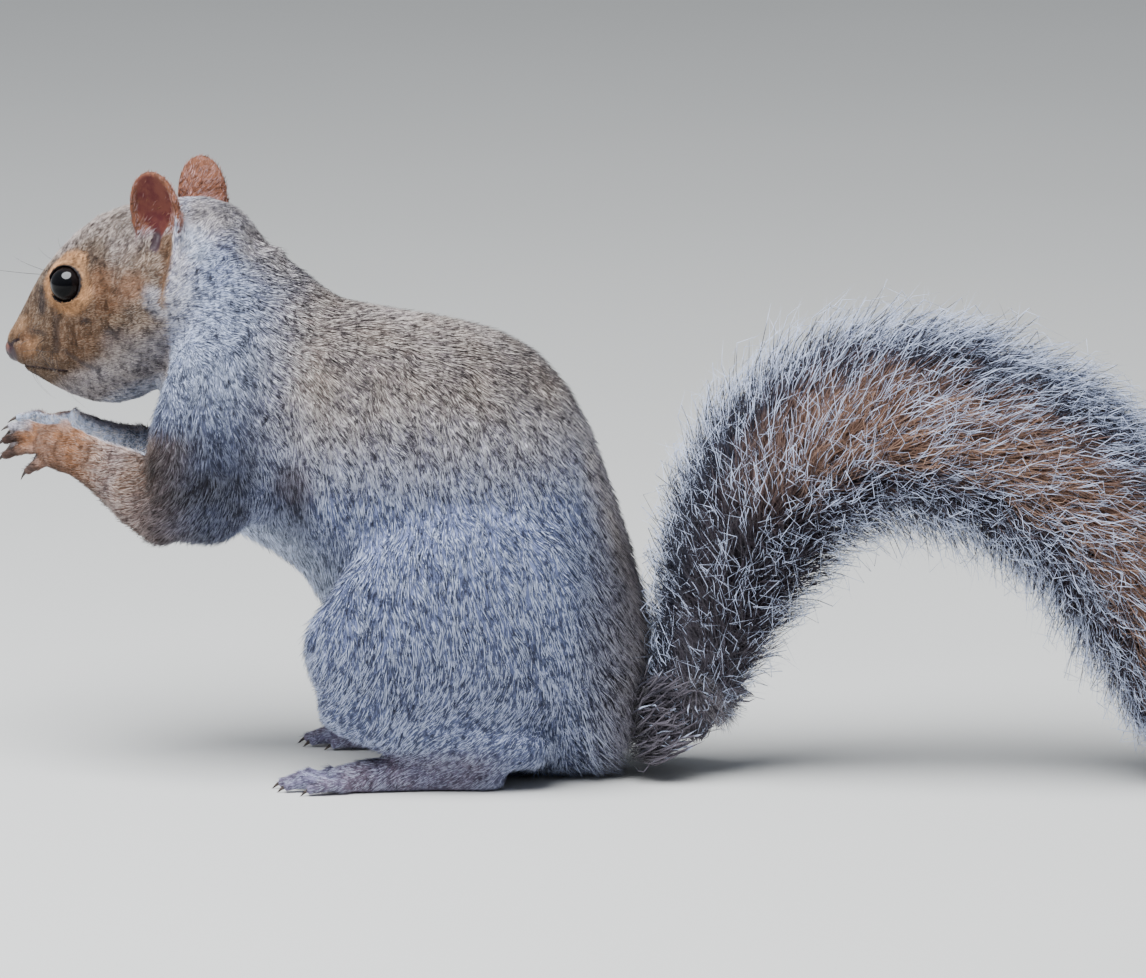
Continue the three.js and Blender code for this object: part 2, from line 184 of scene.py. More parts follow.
# %% Guides for the lie of the coat
# node, place in its box (across, along, up), direction of the hair, kind of coat
BODY_GUIDES = [
    ("neck", (0.5, 0.75, 0.98), (0, 1, -0.35), "nape"),
    ("neck", (0.95, 0.75, 0.7), (0, 0.9, -0.6), "nape"),
    ("neck", (0.95, 0.4, 0.4), (0, 0.35, -1), "nape"),
    ("neck", (0.75, 0.05, 0.15), (0, 0.15, -1), "belly"),
    ("trunk", (0.5, 0.3, 1.0), (0, 1, -0.3), "back"),
    ("trunk", (0.5, 0.66, 0.93), (0, 0.9, -0.6), "back"),
    ("trunk", (0.5, 0.92, 0.75), (0, 0.5, -0.9), "back"),
    ("trunk", (0.5, 1.0, 0.45), (0, 0.2, -1), "rump"),
    ("trunk", (0.5, 1.0, 0.25), (0, 0.6, -1), "skirt"),
    ("trunk", (0.5, 0.95, 0.12), (0, 0.6, -0.8), "skirt"),
    ("trunk", (0.95, 0.35, 0.8), (0, 0.6, -0.9), "flank"),
    ("trunk", (0.95, 0.7, 0.65), (0, 0.35, -0.95), "flank"),
    ("trunk", (1.0, 0.4, 0.5), (0, 0.3, -1), "flank"),
    ("trunk", (0.6, 0.12, 0.5), (0, 0.3, -1), "belly"),
    ("trunk", (0.6, 0.25, 0.3), (0, 0.5, -0.9), "belly"),
    ("trunk", (0.6, 0.4, 0.05), (0, 0.3, -0.6), "belly"),
    ("upper_arm_left", (0.9, 0.6, 0.9), (0, 0.15, -1), "flank"),
    ("upper_arm_left", (1.0, 0.5, 0.5), (0, 0.1, -1), "flank"),
    ("upper_arm_left", (0.9, 0.5, 0.1), (0, -0.2, -1), "arm"),
    ("forearm_left", (0.9, 0.8, 0.3), (-0.1, -0.75, -0.35), "arm"),
    ("forearm_left", (0.6, 0.4, 0.55), (-0.2, -1, 0.35), "wrist"),
    ("hand_left", (0.6, 0.75, 0.5), (-0.1, -1, 0.05), "paw"),
    ("hand_left", (0.4, 0.2, 0.5), (-0.1, -1, -0.1), "paw"),
    ("thigh_left", (0.9, 0.15, 0.8), (0, 0.0, -1), "flank"),
    ("thigh_left", (1.0, 0.5, 0.6), (0, 0.2, -1), "flank"),
    ("thigh_left", (0.9, 0.95, 0.5), (0, 0.3, -1), "rump"),
    ("thigh_left", (1.0, 0.3, 0.15), (0, -0.15, -1), "rump"),
    ("shank_left", (0.7, 0.6, 0.4), (0, -0.6, -0.7), "arm"),
    ("shank_left", (0.6, 0.1, 0.5), (0, -0.9, -0.4), "wrist"),
    ("foot_left", (0.5, 0.75, 0.8), (0, -1, -0.1), "paw"),
    ("foot_left", (0.5, 0.2, 0.5), (0, -1, -0.15), "paw"),
    ("tail_root", (0.5, 0.1, 0.4), (0, 0.6, -0.8), "skirt"),
]
# place on the head in mm (across, back, up from the brow), direction on the head, kind of coat
HEAD_GUIDES = [
    ((2, -27, -2), (0.15, 0.9, 0.4), "muzzle"),
    ((6, -24, -10), (0.25, 1, -0.1), "muzzle"),
    ((3, -20, -19), (0.1, 1, -0.2), "muzzle"),
    ((5, -14, 3), (0.2, 0.9, 0.45), "muzzle"),
    ((10, -12, -10), (0.2, 1, -0.15), "face"),
    ((13, -4, -9), (0.1, 1, -0.25), "face"),
    ((8, 0, 9), (0.1, 1, 0.3), "face"),
    ((17, 8, -3), (0.1, 1, -0.1), "face"),
    ((16, 3, -20), (0, 1, -0.35), "face"),
    ((9, -4, -30), (0, 1, -0.25), "face"),
    ((18, 18, -22), (0, 0.9, -0.5), "crown"),
    ((18, 28, -12), (0, 0.9, -0.5), "crown"),
    ((0, 10, 13), (0, 1, 0.1), "crown"),
    ((10, 22, 11), (0.1, 1, 0.0), "crown"),
    ((0, 30, 9), (0, 1, -0.2), "crown"),
    ((13, 36, -2), (0.1, 1, -0.35), "nape"),
    ((15.5, 27, -6), (0.1, 0.45, 0.9), "ear"),
    ((17, 34, 4), (0.1, 0.45, 0.9), "ear"),
    ((18, 40, 13), (0.1, 0.5, 0.85), "ear"),
]
REACH = 11 * MM  # how far a guide's word carries

# %% Mirror the guides to both sides
MIRROR = np.array([-1.0, 1.0, 1.0])
spots, lies, kinds = [], [], []
for node, share, lie, kind in BODY_GUIDES:
    at = place(node, *share)
    for flip in (np.ones(3), MIRROR):
        spots.append(at * flip)
        lies.append(unit(np.array(lie, float)) * flip)
        kinds.append(kind)
for at, lie, kind in HEAD_GUIDES:
    for flip in (np.ones(3), MIRROR):
        spots.append(on_head(*(np.array(at) * flip)))
        lies.append(HEAD @ (unit(np.array(lie, float)) * flip))
        kinds.append(kind)
SPOTS, LIES = np.array(spots), np.array(lies)
TRAITS = ("depth", "length", "width", "lift", "crowd", "mixed")
KINDS = np.array([[getattr(COATS[kind], trait) for trait in TRAITS] for kind in kinds])
print("guides", len(SPOTS), "kinds of coat", len(COATS))

# %% Blend the guides
NEAREST_WINS = 0.8  # how much of the way to the nearest guide doesn't count, so that it wins far off too


def groomed(points, rows=40_000):
    """The lie of the coat and its traits at each point."""
    lie, kind = np.empty((len(points), 3)), np.empty((len(points), 6))
    for start in range(0, len(points), rows):
        part = slice(start, start + rows)
        gap = np.linalg.norm(points[part, None] - SPOTS[None], axis=2)
        gap -= gap.min(axis=1, keepdims=True) * NEAREST_WINS
        weight = np.exp(-((gap / REACH) ** 2))
        weight /= weight.sum(axis=1, keepdims=True)
        lie[part] = weight @ LIES
        kind[part] = weight @ KINDS
    return lie, kind


# %% [markdown]
# ## One skin from many solids
# The solids meet with hair-thin gaps, and a body has none. A distance field closes them: it stores, at every
# point of a fine lattice, how far away the nearest surface is, less than nothing inside. Adding a number to
# the field grows or shrinks the whole shape at once, so the skin is found by sinking the field by the
# depth of the coat. Fields also join and carve softly, which suits lids and lips.

# %% The distance field of the body
VOXEL = 0.5 * MM
CLOSE = 1.6  # lattice steps by which the body is first grown, to close the gaps between solids
LATTICE_LOW = np.floor(np.array(CAD_BOX[0]) / VOXEL).astype(int) - 8
LATTICE_SIZE = np.ceil(np.array(CAD_BOX[1]) / VOXEL).astype(int) + 9 - LATTICE_LOW


def band(points, faces, outside, inside):
    """The distance field of a closed shape, exact to some steps either side of its surface."""
    sides = {"triangles": faces.astype(np.uint32)} if faces.shape[1] == 3 else {"quads": faces}
    return vdb.FloatGrid.createLevelSetFromPolygons(
        np.ascontiguousarray(points, np.float32),
        transform=vdb.createLinearTransform(VOXEL),
        exBandWidth=float(outside),
        inBandWidth=float(inside),
        **sides,
    )


def lattice_of(grid, outside):
    """A field as a plain array, in mm."""
    values = np.full(LATTICE_SIZE, outside * VOXEL, np.float32)
    grid.copyToArray(values, ijk=tuple(int(v) for v in LATTICE_LOW))
    return values / MM


points, faces = joined([name for name in NODES if name not in TAIL + EARS])
points, faces = band(points, faces, 4, 4).convertToQuads(isovalue=CLOSE * VOXEL)
field = lattice_of(band(points, faces, 12, 16), 12) + CLOSE * VOXEL / MM
print("lattice", LATTICE_SIZE, "field from", field.min().round(2), "to", field.max().round(2), "mm")

# %% [markdown]
# ## The tail's bone
# Under its brush of hair, the tail is a thin rod of bone and skin. The solids give only the brush, so the
# rod is measured from them: the tail is an arch, and a ray that sweeps round a point under the arch meets
# the brush's inner and outer side at every angle. The middle of the two is the line of the bone.

# %% Sweep the arch for its middle line
from mathutils import Vector
from mathutils.bvhtree import BVHTree

tail_points, tail_faces = joined(TAIL)
BRUSH = BVHTree.FromPolygons(tail_points.tolist(), tail_faces.tolist())
UNDER_ARCH = np.array([0, place("tail_rise", 0.5, 0.65, 0)[1], 0.0])
SWEEP = np.radians(np.linspace(161, 3, 25))
FAR = 0.3


def brush_side(start, way, far=FAR):
    """The outermost place where a line from start, going that way, leaves the brush."""
    start, way = np.asarray(start, float), np.asarray(way, float)
    hit = BRUSH.ray_cast(Vector(start + way * far), Vector(-way), far)
    return far - hit[3] if hit[0] is not None else None


bone = []
for angle in SWEEP:
    way = np.array([0, math.cos(angle), math.sin(angle)])
    inner = BRUSH.ray_cast(Vector(UNDER_ARCH), Vector(way), FAR)
    outer = brush_side(UNDER_ARCH, way)
    if inner[0] is not None and outer is not None:
        bone.append(UNDER_ARCH + way * (inner[3] + outer) / 2)
bone = np.array(bone)
for _ in range(4):
    bone[1:-1] = (bone[:-2] + 2 * bone[1:-1] + bone[2:]) / 4
steps = np.concatenate([[0], np.cumsum(np.linalg.norm(np.diff(bone, axis=0), axis=1))])
BONE_LENGTH = steps[-1]
print("tail bone", len(bone), "stations,", round(BONE_LENGTH / MM), "mm long")

# %% Walk along the bone
SIDE = np.array([1.0, 0.0, 0.0])


def bone_at(share):
    """Points of the bone's line at shares of its length, and the directions there."""
    def line(s):
        return np.stack([np.interp(s * BONE_LENGTH, steps, bone[:, axis]) for axis in range(3)], axis=-1)

    share = np.asarray(share, float)
    return line(share), unit(line(np.minimum(share + 0.03, 1)) - line(np.maximum(share - 0.03, 0)))


def bone_radius(share):
    """How thick the flesh of the tail is, from the rump to the tip."""
    return np.interp(share, [0, 0.08, 0.2, 0.6, 1], [9.0, 6.5, 4.2, 2.8, 1.2]) * MM


# %% The rod of bone and skin
def tube(share, radius, around):
    """A closed tube along the bone, as corners and triangles."""
    centre, run = bone_at(share)
    up = unit(np.cross(run, SIDE))
    turn = np.linspace(0, 2 * math.pi, around, endpoint=False)
    ring = SIDE * np.cos(turn)[:, None] + up[:, None] * np.sin(turn)[:, None]
    points = (centre[:, None] + ring * radius[:, None, None]).reshape(-1, 3)
    triangles = []
    for i in range(len(share) - 1):
        for j in range(around):
            a, b = i * around + j, i * around + (j + 1) % around
            triangles += [(a, b, b + around), (a, b + around, a + around)]
    ends = len(points), len(points) + 1
    for j in range(around):
        k = (j + 1) % around
        last = (len(share) - 1) * around
        triangles += [(ends[0], k, j), (ends[1], last + j, last + k)]
    return np.concatenate([points, centre[[0, -1]]]), np.array(triangles)


rod_share = np.linspace(0, 1, 60)
rod = lattice_of(band(*tube(rod_share, bone_radius(rod_share), 20), 8, 8), 8)
print("rod field", rod.min().round(2), rod.max().round(2))

# %% [markdown]
# ## Sink the skin, then shape the face
# The skin lies under the coat by as much as the guides say, and hardly at all in the ears and toes, which
# are too thin to lose anything. The face is then shaped in the same field. Lids are a shell around each
# eyeball with an oval opening cut through it, and nostrils, the cleft lip and the mouth are pressed in.

# %% Depth of the coat over the lattice
COARSE = 8  # lattice steps between the points where the guides are asked
thin_points, thin_faces = joined(THIN)
thin = lattice_of(band(thin_points, thin_faces, 7, 3), 7)
coarse = [np.arange(0, n + COARSE, COARSE) for n in LATTICE_SIZE]
corners = np.stack(np.meshgrid(*coarse, indexing="ij"), axis=-1).reshape(-1, 3)
sink = groomed((corners + LATTICE_LOW) * VOXEL)[1][:, 0].reshape([len(c) for c in coarse]).astype(np.float32)
for axis, size in enumerate(LATTICE_SIZE):
    at = np.arange(size) / COARSE
    low, part = at.astype(int), (at % 1).astype(np.float32)
    part = part.reshape([-1 if k == axis else 1 for k in range(3)])
    sink = np.take(sink, low, axis=axis) * (1 - part) + np.take(sink, low + 1, axis=axis) * part
field += sink * np.clip(0.04 + thin / 2.8, 0, 1)
del sink, thin


# %% Soft joins between fields
def soft_min(a, b, k):
    """Joins two fields, with a fillet about k mm wide."""
    h = np.clip(0.5 + 0.5 * (b - a) / k, 0, 1)
    return b + (a - b) * h - k * h * (1 - h)


def soft_max(a, b, k):
    """Cuts one field by another, with an edge about k mm round."""
    return -soft_min(-a, -b, k)


def ease(x, low, high):
    """0 below low, 1 above high, smooth between."""
    t = np.clip((x - low) / (high - low), 0, 1)
    return t * t * (3 - 2 * t)


def evened(field, reach, rounds):
    """A field averaged over a cube of lattice steps, which melts the joins between limbs and trunk."""
    for _ in range(rounds):
        for axis in range(3):
            pad = [(reach + 1, reach) if k == axis else (0, 0) for k in range(3)]
            total = np.cumsum(np.pad(field, pad, mode="edge"), axis=axis, dtype=np.float64)
            size = field.shape[axis]
            field = (
                np.take(total, np.arange(2 * reach + 1, 2 * reach + 1 + size), axis=axis)
                - np.take(total, np.arange(size), axis=axis)
            ).astype(np.float32) / (2 * reach + 1)
    return field


# %% Melt the joins of limbs and trunk
low, high = (np.array(corner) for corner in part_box("trunk"))
low, high = low - 12 * MM, high + 12 * MM
start = np.maximum(np.floor(low / VOXEL).astype(int) - LATTICE_LOW, 0)
stop = np.minimum(np.ceil(high / VOXEL).astype(int) - LATTICE_LOW, LATTICE_SIZE)
trunk_block = tuple(slice(a, b) for a, b in zip(start, stop))
spans = [(np.arange(a, b) + c) * VOXEL / MM for a, b, c in zip(start, stop, LATTICE_LOW)]
melt = (ease(spans[1], -128, -104)[:, None] * ease(spans[2], 12, 26)[None]).astype(np.float32)[None]
body_field = field[trunk_block]
field[trunk_block] = body_field + (evened(body_field, 6, 2) - body_field) * melt
del body_field
print("joins melted over", [s.stop - s.start for s in trunk_block], "steps")

near_rod = rod < 6
field[near_rod] = soft_min(field[near_rod], rod[near_rod], 4.0)
del near_rod, rod

# %% The block of the lattice that holds the head
low = np.min([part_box(name)[0] for name in ["head"] + EARS], axis=0)
high = np.max([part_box(name)[1] for name in ["head"] + EARS], axis=0)
i0, j0, k0 = np.maximum(np.floor(low / VOXEL).astype(int) - LATTICE_LOW - 6, 0)
i1, j1, k1 = np.ceil(high / VOXEL).astype(int) - LATTICE_LOW + 6
block = (slice(i0, i1), slice(j0, j1), slice(k0, k1))
index = np.stack(np.meshgrid(*(np.arange(*s.indices(9999)) for s in block), indexing="ij"), axis=-1)
spot = in_head((index + LATTICE_LOW) * VOXEL).astype(np.float32)
across, back, up = np.abs(spot[..., 0]), spot[..., 1], spot[..., 2]
face = field[block].copy()
print("head block", face.shape)


# %% Pressing and swelling
def swell(face, centre, radii, height):
    """Raises the skin by up to height mm around a place on either side of the face."""
    away = ((across - centre[0]) / radii[0]) ** 2 + ((back - centre[1]) / radii[1]) ** 2
    away = away + ((up - centre[2]) / radii[2]) ** 2
    return face - height * np.exp(-away)


def crease(face, line, width, depth, least=0.0, most=99.0):
    """Presses a groove along a line of (back, up) points, on both sides of the face."""
    gap = np.full(face.shape, 99.0, np.float32)
    for (b0, u0), (b1, u1) in zip(line, line[1:]):
        run = max((b1 - b0) ** 2 + (u1 - u0) ** 2, 1e-6)
        t = np.clip(((back - b0) * (b1 - b0) + (up - u0) * (u1 - u0)) / run, 0, 1)
        gap = np.minimum(gap, np.hypot(back - b0 - t * (b1 - b0), up - u0 - t * (u1 - u0)))
    reach = 1 - ease(across, most, most + 0.8)
    if least:
        reach = reach * ease(across, least, least + 0.8)
    return face + depth * np.exp(-((gap / width) ** 2)) * reach


# %% Shape the nose, lips and cheeks
NOSTRIL = [(-29.4, -6.9), (-27.4, -6.0), (-25.0, -6.2)]
LIPS = [(-30.5, -11.9), (-27.0, -13.2), (-22.5, -16.0), (-18.0, -18.6), (-14.5, -20.6)]
face = swell(face, (5.2, -22, -11.2), (3.6, 5.0, 3.2), 0.8)  # the whisker pads
face = swell(face, (3.4, -26.5, -4.4), (2.4, 3.4, 1.6), 0.5)  # the wings of the nose
face = swell(face, (12, -7, -19), (6, 7, 5), 0.7)  # the cheeks
face = swell(face, (9.6, -8.5, 4.6), (3.5, 5.0, 3.0), 0.7)  # the brow over the front of the eye
face = swell(face, (6.5, -13, -2.5), (3.0, 5.5, 3.5), -0.7)  # the hollow before the eye
face = swell(face, (6.2, -29.5, -8.5), (2.4, 3.0, 3.4), -1.2)  # the muzzle narrows to the nose
face = crease(face, NOSTRIL, 0.62, 1.2, least=1.0)
face = crease(face, [(-25.0, -6.2), (-21.5, -7.2), (-19.0, -8.6)], 0.9, 0.5)
face = crease(face, LIPS, 0.5, 1.0)
face = crease(face, [(-14.5, -20.6), (-10.5, -21.6), (-7.0, -23.5)], 1.2, 0.7)
face = crease(face, [(-6.7, -3.6), (-9.9, -7.7), (-13.0, -13.0)], 1.6, 0.35)  # from the eye to the mouth
cleft = np.exp(-((across / 0.45) ** 2)) * ease(-back, 27.5, 29)  # the cleft of the upper lip
face = face + 0.9 * cleft * ease(-up, 8.0, 9.5) * (1 - ease(-up, 12.4, 13.4))

# %% Lids
LOOK = unit(np.array([0.96, -0.08, 0.2]))  # the way the left eye looks, on the head
LID = 0.75  # thickness of a lid over the eyeball, in mm
OPENING = (5.05, 4.95)  # half the width and half the height between the lids, in mm
eye_r = EYE_RADIUS / MM
eye_at = np.abs(in_head(EYES["left"]))
eye_back, eye_up = in_head(EYES["left"])[1:]
from_eye = np.stack([across - eye_at[0], back - eye_back, up - eye_up], axis=-1)
EYE_UP = unit(np.array([0, 0.2, 1]) - LOOK * (LOOK @ np.array([0, 0.2, 1])))
EYE_BACK = np.cross(LOOK, EYE_UP)
out, wide, tall = from_eye @ LOOK, from_eye @ EYE_BACK, from_eye @ EYE_UP
ball = np.linalg.norm(from_eye, axis=-1) - eye_r
face = soft_min(face, ball - LID, 1.8)
corner_pull = 1 + 0.16 * ease(wide, 2.0, 5.0) - 0.03 * ease(-wide, 2.0, 5.0)
oval = np.hypot(wide / (OPENING[0] * corner_pull), tall / OPENING[1] * (1 + 0.2 * ease(wide, 2.5, 5.5)))
opening = np.maximum((oval - 1) * OPENING[0], 0.6 - out)
face = soft_max(face, -opening, 0.5)
face = soft_max(face, np.where(out > 0, -(ball + 0.12), -9), 0.2)
print("eye opens", OPENING, "mm around a ball of radius", round(eye_r, 2))

# %% [markdown]
# ## Ears
# An ear is a thin cup. It is drawn in directions of its own: up its length, across it, and out of the cup.
# A bent sheet is given a thickness, cut to an oval, and rolled at the rim, most at the back. The bare bowl
# narrows to a notch where the cup runs into the head, and the back rim goes on down the head as a fold.

# %% Cups, rims and folds
EAR_FOOT = np.array([14.6, 31.0, -2.0])  # bottom of the cup, on the head in mm
EAR_FACING = unit(np.array([1.0, -0.04, -0.1]))
EAR_RISE = unit(np.array([0.1, 0.41, 0.91]) - EAR_FACING * (EAR_FACING @ np.array([0.1, 0.41, 0.91])))
EAR_WAY = np.cross(EAR_RISE, EAR_FACING)
EAR_HALF, EAR_MIDDLE, EAR_ABOVE, EAR_BELOW = 7.2, 9.0, 10.9, 15.5  # half width, and the oval up its length
FAR_EAR = np.array([0.0, 1.6, -0.8])  # the right ear is carried a little further back


def on_ear(local):
    """Places on the nearer ear: up it, across it, out of its cup, how near its rim, how deep its cup."""
    sided = np.concatenate([np.abs(local[..., :1]), local[..., 1:]], axis=-1)
    sided = sided - EAR_FOOT - (local[..., :1] < 0) * FAR_EAR
    rise, way, facing = sided @ EAR_RISE, sided @ EAR_WAY, sided @ EAR_FACING
    from_middle = rise - EAR_MIDDLE
    rim = np.hypot(way / EAR_HALF, from_middle / np.where(from_middle > 0, EAR_ABOVE, EAR_BELOW))
    cup = np.interp(rise, [-4, 0, 8, 20], [3.0, 4.2, 3.6, 1.4])
    return rise, way, facing, rim, -cup * (1 - np.minimum(rim, 1.3) ** 2)


def bowl_of(rise, way):
    """0 in the middle of an ear's bare bowl, 1 at its edge; it narrows to a notch at the bottom."""
    return np.hypot((way + 0.4) / np.interp(rise, [-1, 2, 7, 18], [0.9, 2.6, 5.4, 5.9]), (rise - 9.5) / 10.2)


# %% Carve and roll the ears
rise, way, facing, rim, sheet = on_ear(spot)
roll = np.exp(-(((rim - 0.96) / 0.12) ** 2)) * (0.3 + 0.45 * ease(way, 1, 6) * (1 - ease(rise, 9, 15)))
half_thick = 0.62 + roll
tilt = np.sqrt(1 + (0.9 * np.minimum(rim, 1)) ** 2)
ear_shell = soft_max(np.abs(facing - sheet) / tilt - half_thick, (rim - 1) * 6.8, 0.9)
dent = (bowl_of(rise, way) - 1) * np.interp(rise, [-1, 7], [2.5, 5.6])
notch = np.linalg.norm(np.stack([way + 1.2, (rise + 0.2) * 0.7, facing - 1.0], axis=-1), axis=-1) - 1.5
face = soft_max(face, -np.maximum(dent, sheet + 0.5 - facing), 0.8)
face = soft_min(face, ear_shell, 1.8)
face = soft_max(face, -notch, 0.7)
FOLD = [(40.0, 0.5), (36.8, -4.2), (33.2, -8.6), (29.5, -13.0), (25.5, -18.0)]
face = crease(face, FOLD, 1.3, -1.0, least=13.0)
face = crease(face, [(b - 3.6, u - 1.2) for b, u in FOLD[1:4]], 1.2, 0.9, least=13.0)
field[block] = face
print("ear", round(EAR_ABOVE + EAR_MIDDLE, 1), "mm tall above its hollow, rising", EAR_RISE.round(2))

# %% [markdown]
# ## Fingers, toes and their claws
# Sunk by the coat's depth, the digits of the solids run together like a mitten. So each is drawn again in
# the field as a rod that narrows from its knuckle to its tip, with a swelling at each joint, and the digits
# part. The joints are the same as in the solids, given for the left side. On the animal a claw is horn that
# grows out of the last joint. It becomes a piece of its own, and the skin is cut square where it begins.

# %% Joints of the digits
FINGERS = [((8.4, -103, 96.8), (7.2, -108.4, 96.4)), ((8.8, -105, 94.2), (7.4, -110.2, 92.4))]
FINGERS += [((9.6, -104.8, 90.6), (8, -110.2, 88.2)), ((10.6, -100, 86.6), (9.6, -103.6, 84.2))]
TOES = [((23.6, -17, 2.9), (22.8, -22, 1.6)), ((27.6, -22.5, 3.3), (27, -28.5, 1.6))]
TOES += [((31.8, -24, 3.4), (32, -30.5, 1.6)), ((36, -22.5, 3.3), (37, -28.5, 1.6))]
TOES += [((39.8, -17, 2.9), (41.4, -21.6, 1.6))]
SOURCE_SHIFT = -60.68  # mm along the body, from the joints' own origin to the model's
digits = []
for knuckle, tip in FINGERS + TOES:
    for flip in (1, -1):
        ends = [(np.array(p) + (0, SOURCE_SHIFT, 0)) * (flip, 1, 1) * MM for p in (knuckle, tip)]
        digits.append((ends[0], ends[1], unit(ends[1] - ends[0])))


def from_digit(spots, number, behind=0.0):
    """Distance in mm from points to the line of a digit, and how far along it they lie."""
    knuckle, tip, way = digits[number]
    length = np.linalg.norm(tip - knuckle) / MM
    along = (spots - knuckle) @ way / MM
    line = knuckle + np.clip(along, -behind, length)[..., None] * way * MM
    return np.linalg.norm(spots - line, axis=-1) / MM, along, length


print("digits", len(digits), "each from a knuckle to a tip")

# %% Draw the digits apart
FINGER_HALF, TOE_HALF = (1.5, 1.15), (1.7, 1.3)  # half the width at the knuckle and at the tip, in mm
LIMBS = [range(0, 8, 2), range(1, 8, 2), range(8, 18, 2), range(9, 18, 2)]  # digits of each hand and foot
for limb in LIMBS:
    ends = np.array([digits[n][0] for n in limb] + [digits[n][1] for n in limb])
    low = np.floor((ends.min(axis=0) - 6 * MM) / VOXEL).astype(int) - LATTICE_LOW
    high = np.ceil((ends.max(axis=0) + 6 * MM) / VOXEL).astype(int) - LATTICE_LOW
    part = tuple(slice(max(a, 0), min(b, n)) for a, b, n in zip(low, high, LATTICE_SIZE))
    index = np.stack(np.meshgrid(*(np.arange(p.start, p.stop) for p in part), indexing="ij"), axis=-1)
    spots = (index + LATTICE_LOW) * VOXEL
    nearest, reach = np.full(index.shape[:3], 99.0), np.full(index.shape[:3], -9.0)
    thick, thin_end = FINGER_HALF if limb.start < 8 else TOE_HALF
    for number in limb:
        gap, along, length = from_digit(spots, number, 4.0)
        knuckles = 0.2 * np.exp(-((along / 1.4) ** 2)) - 0.12 * np.exp(-(((along - length * 0.5) / 1.2) ** 2))
        skin_gap = gap - np.interp(along, [0, length], [thick, thin_end]) - knuckles
        reach = np.where(skin_gap < nearest, along, reach)
        nearest = soft_min(nearest, skin_gap, 0.3)
    apart = ease(reach, -3.0, 0.5)
    field[part] = field[part] * (1 - apart) + np.minimum(nearest, 6) * apart
print("digits parted on", len(LIMBS), "limbs")

# %% Cut the skin at the claws
CLAW_START = 0.5 * MM  # beyond the tip joint
for knuckle, tip, way in digits:
    low = np.floor((tip - 5 * MM) / VOXEL).astype(int) - LATTICE_LOW
    cut = tuple(slice(max(a, 0), a + 21) for a in low)
    index = np.stack(np.meshgrid(*(np.arange(*c.indices(9999)) for c in cut), indexing="ij"), axis=-1)
    inside = tuple(slice(0, size) for size in field[cut].shape)  # the lattice may end before the cut does
    gap = (index[inside] + LATTICE_LOW) * VOXEL - tip
    along_digit = gap @ way
    beside = np.linalg.norm(gap - along_digit[..., None] * way, axis=-1)
    plane = np.where(beside < 2.3 * MM, (along_digit - CLAW_START) / MM, -9)
    field[cut] = soft_max(field[cut], plane, 0.8)
print("skin cut for", len(digits), "claws")

# %% [markdown]
# ## From field to mesh
# The skin is the surface where the field is zero. It comes out as even small squares, is relaxed where the
# solids met at an edge, and is then thinned where the coat will hide it, so that most of its triangles are
# left for the face, the ears and the toes.

# %% Build meshes from arrays
def mesh_of(name, points, polygons, smooth=True):
    """A new object from corners and from triangles or squares."""
    mesh = bpy.data.meshes.new(name)
    mesh.vertices.add(len(points))
    mesh.vertices.foreach_set("co", np.ascontiguousarray(points, np.float32).ravel())
    sides = polygons.shape[1]
    mesh.loops.add(polygons.size)
    mesh.loops.foreach_set("vertex_index", np.ascontiguousarray(polygons, np.int32).ravel())
    mesh.polygons.add(len(polygons))
    mesh.polygons.foreach_set("loop_start", np.arange(0, polygons.size, sides, dtype=np.int32))
    mesh.polygons.foreach_set("use_smooth", np.full(len(polygons), smooth))
    mesh.update(calc_edges=True)
    obj = bpy.data.objects.new(name, mesh)
    bpy.context.scene.collection.objects.link(obj)
    return obj


def note(obj, name, values):
    """Writes a number or a direction for every corner of a mesh, for its material to read."""
    kind, field_name = ("FLOAT", "value") if values.ndim == 1 else ("FLOAT_VECTOR", "vector")
    mark = obj.data.attributes.new(name, kind, "POINT")
    mark.data.foreach_set(field_name, np.ascontiguousarray(values, np.float32).ravel())


def relaxed(points, polygons, share, rounds):
    """Moves each corner towards the middle of its neighbours, by its own share."""
    edges = np.concatenate([polygons[:, [a, (a + 1) % polygons.shape[1]]] for a in range(polygons.shape[1])])
    count = np.maximum(np.bincount(edges.ravel(), minlength=len(points)), 1)[:, None]
    one, two = edges[:, 0], edges[:, 1]
    for _ in range(rounds):
        near = np.zeros(points.shape)
        for k in range(3):
            near[:, k] = np.bincount(one, points[two, k], len(points))
            near[:, k] += np.bincount(two, points[one, k], len(points))
        points = points + (near / count - points) * share[:, None]
    return points


# %% Even out the skin's surface
SOLE_GAP = 0.2 * MM  # between the soles and the floor
grid = vdb.FloatGrid(float(field.max()))
grid.copyFromArray(field, ijk=tuple(int(v) for v in LATTICE_LOW), tolerance=0.0)
grid.transform = vdb.createLinearTransform(VOXEL)
points, faces = grid.convertToQuads(isovalue=0.0)
points, faces = points.astype(float), faces.astype(np.int64)
print("skin surface", len(points), "corners")
fine = np.zeros(len(points))
for name in THIN:
    low, high = (np.array(corner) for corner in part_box(name))
    inside = ease(-np.maximum(low - points, points - high).max(axis=1) / MM, -2.5, -0.5)
    fine = np.maximum(fine, inside * (1 - ease(points[:, 1] / MM, -66, -52)))  # but not at the heels
local = in_head(points)
face_share = ease(-local[:, 1], -26, -16) * ease(local[:, 2], -38, -32) * (np.linalg.norm(local, axis=1) < 60)
rise, way, facing, rim, sheet = on_ear(local)
on_shell = ease(rise, -4, 2) * (1 - ease(rim, 1.2, 1.5)) * (np.abs(facing - sheet) < 4)
share = 0.6 * (1 - np.max([fine, 0.93 * face_share, on_shell], axis=0))
points = relaxed(points, faces, share, 14)
points = relaxed(points, faces, np.full(len(points), 0.35) * (1 - 0.5 * face_share), 2)
points = relaxed(points, faces, 0.4 * on_shell, 3)
points[:, 2] = np.maximum(points[:, 2], SOLE_GAP)
skin = mesh_of("skin", points, faces)

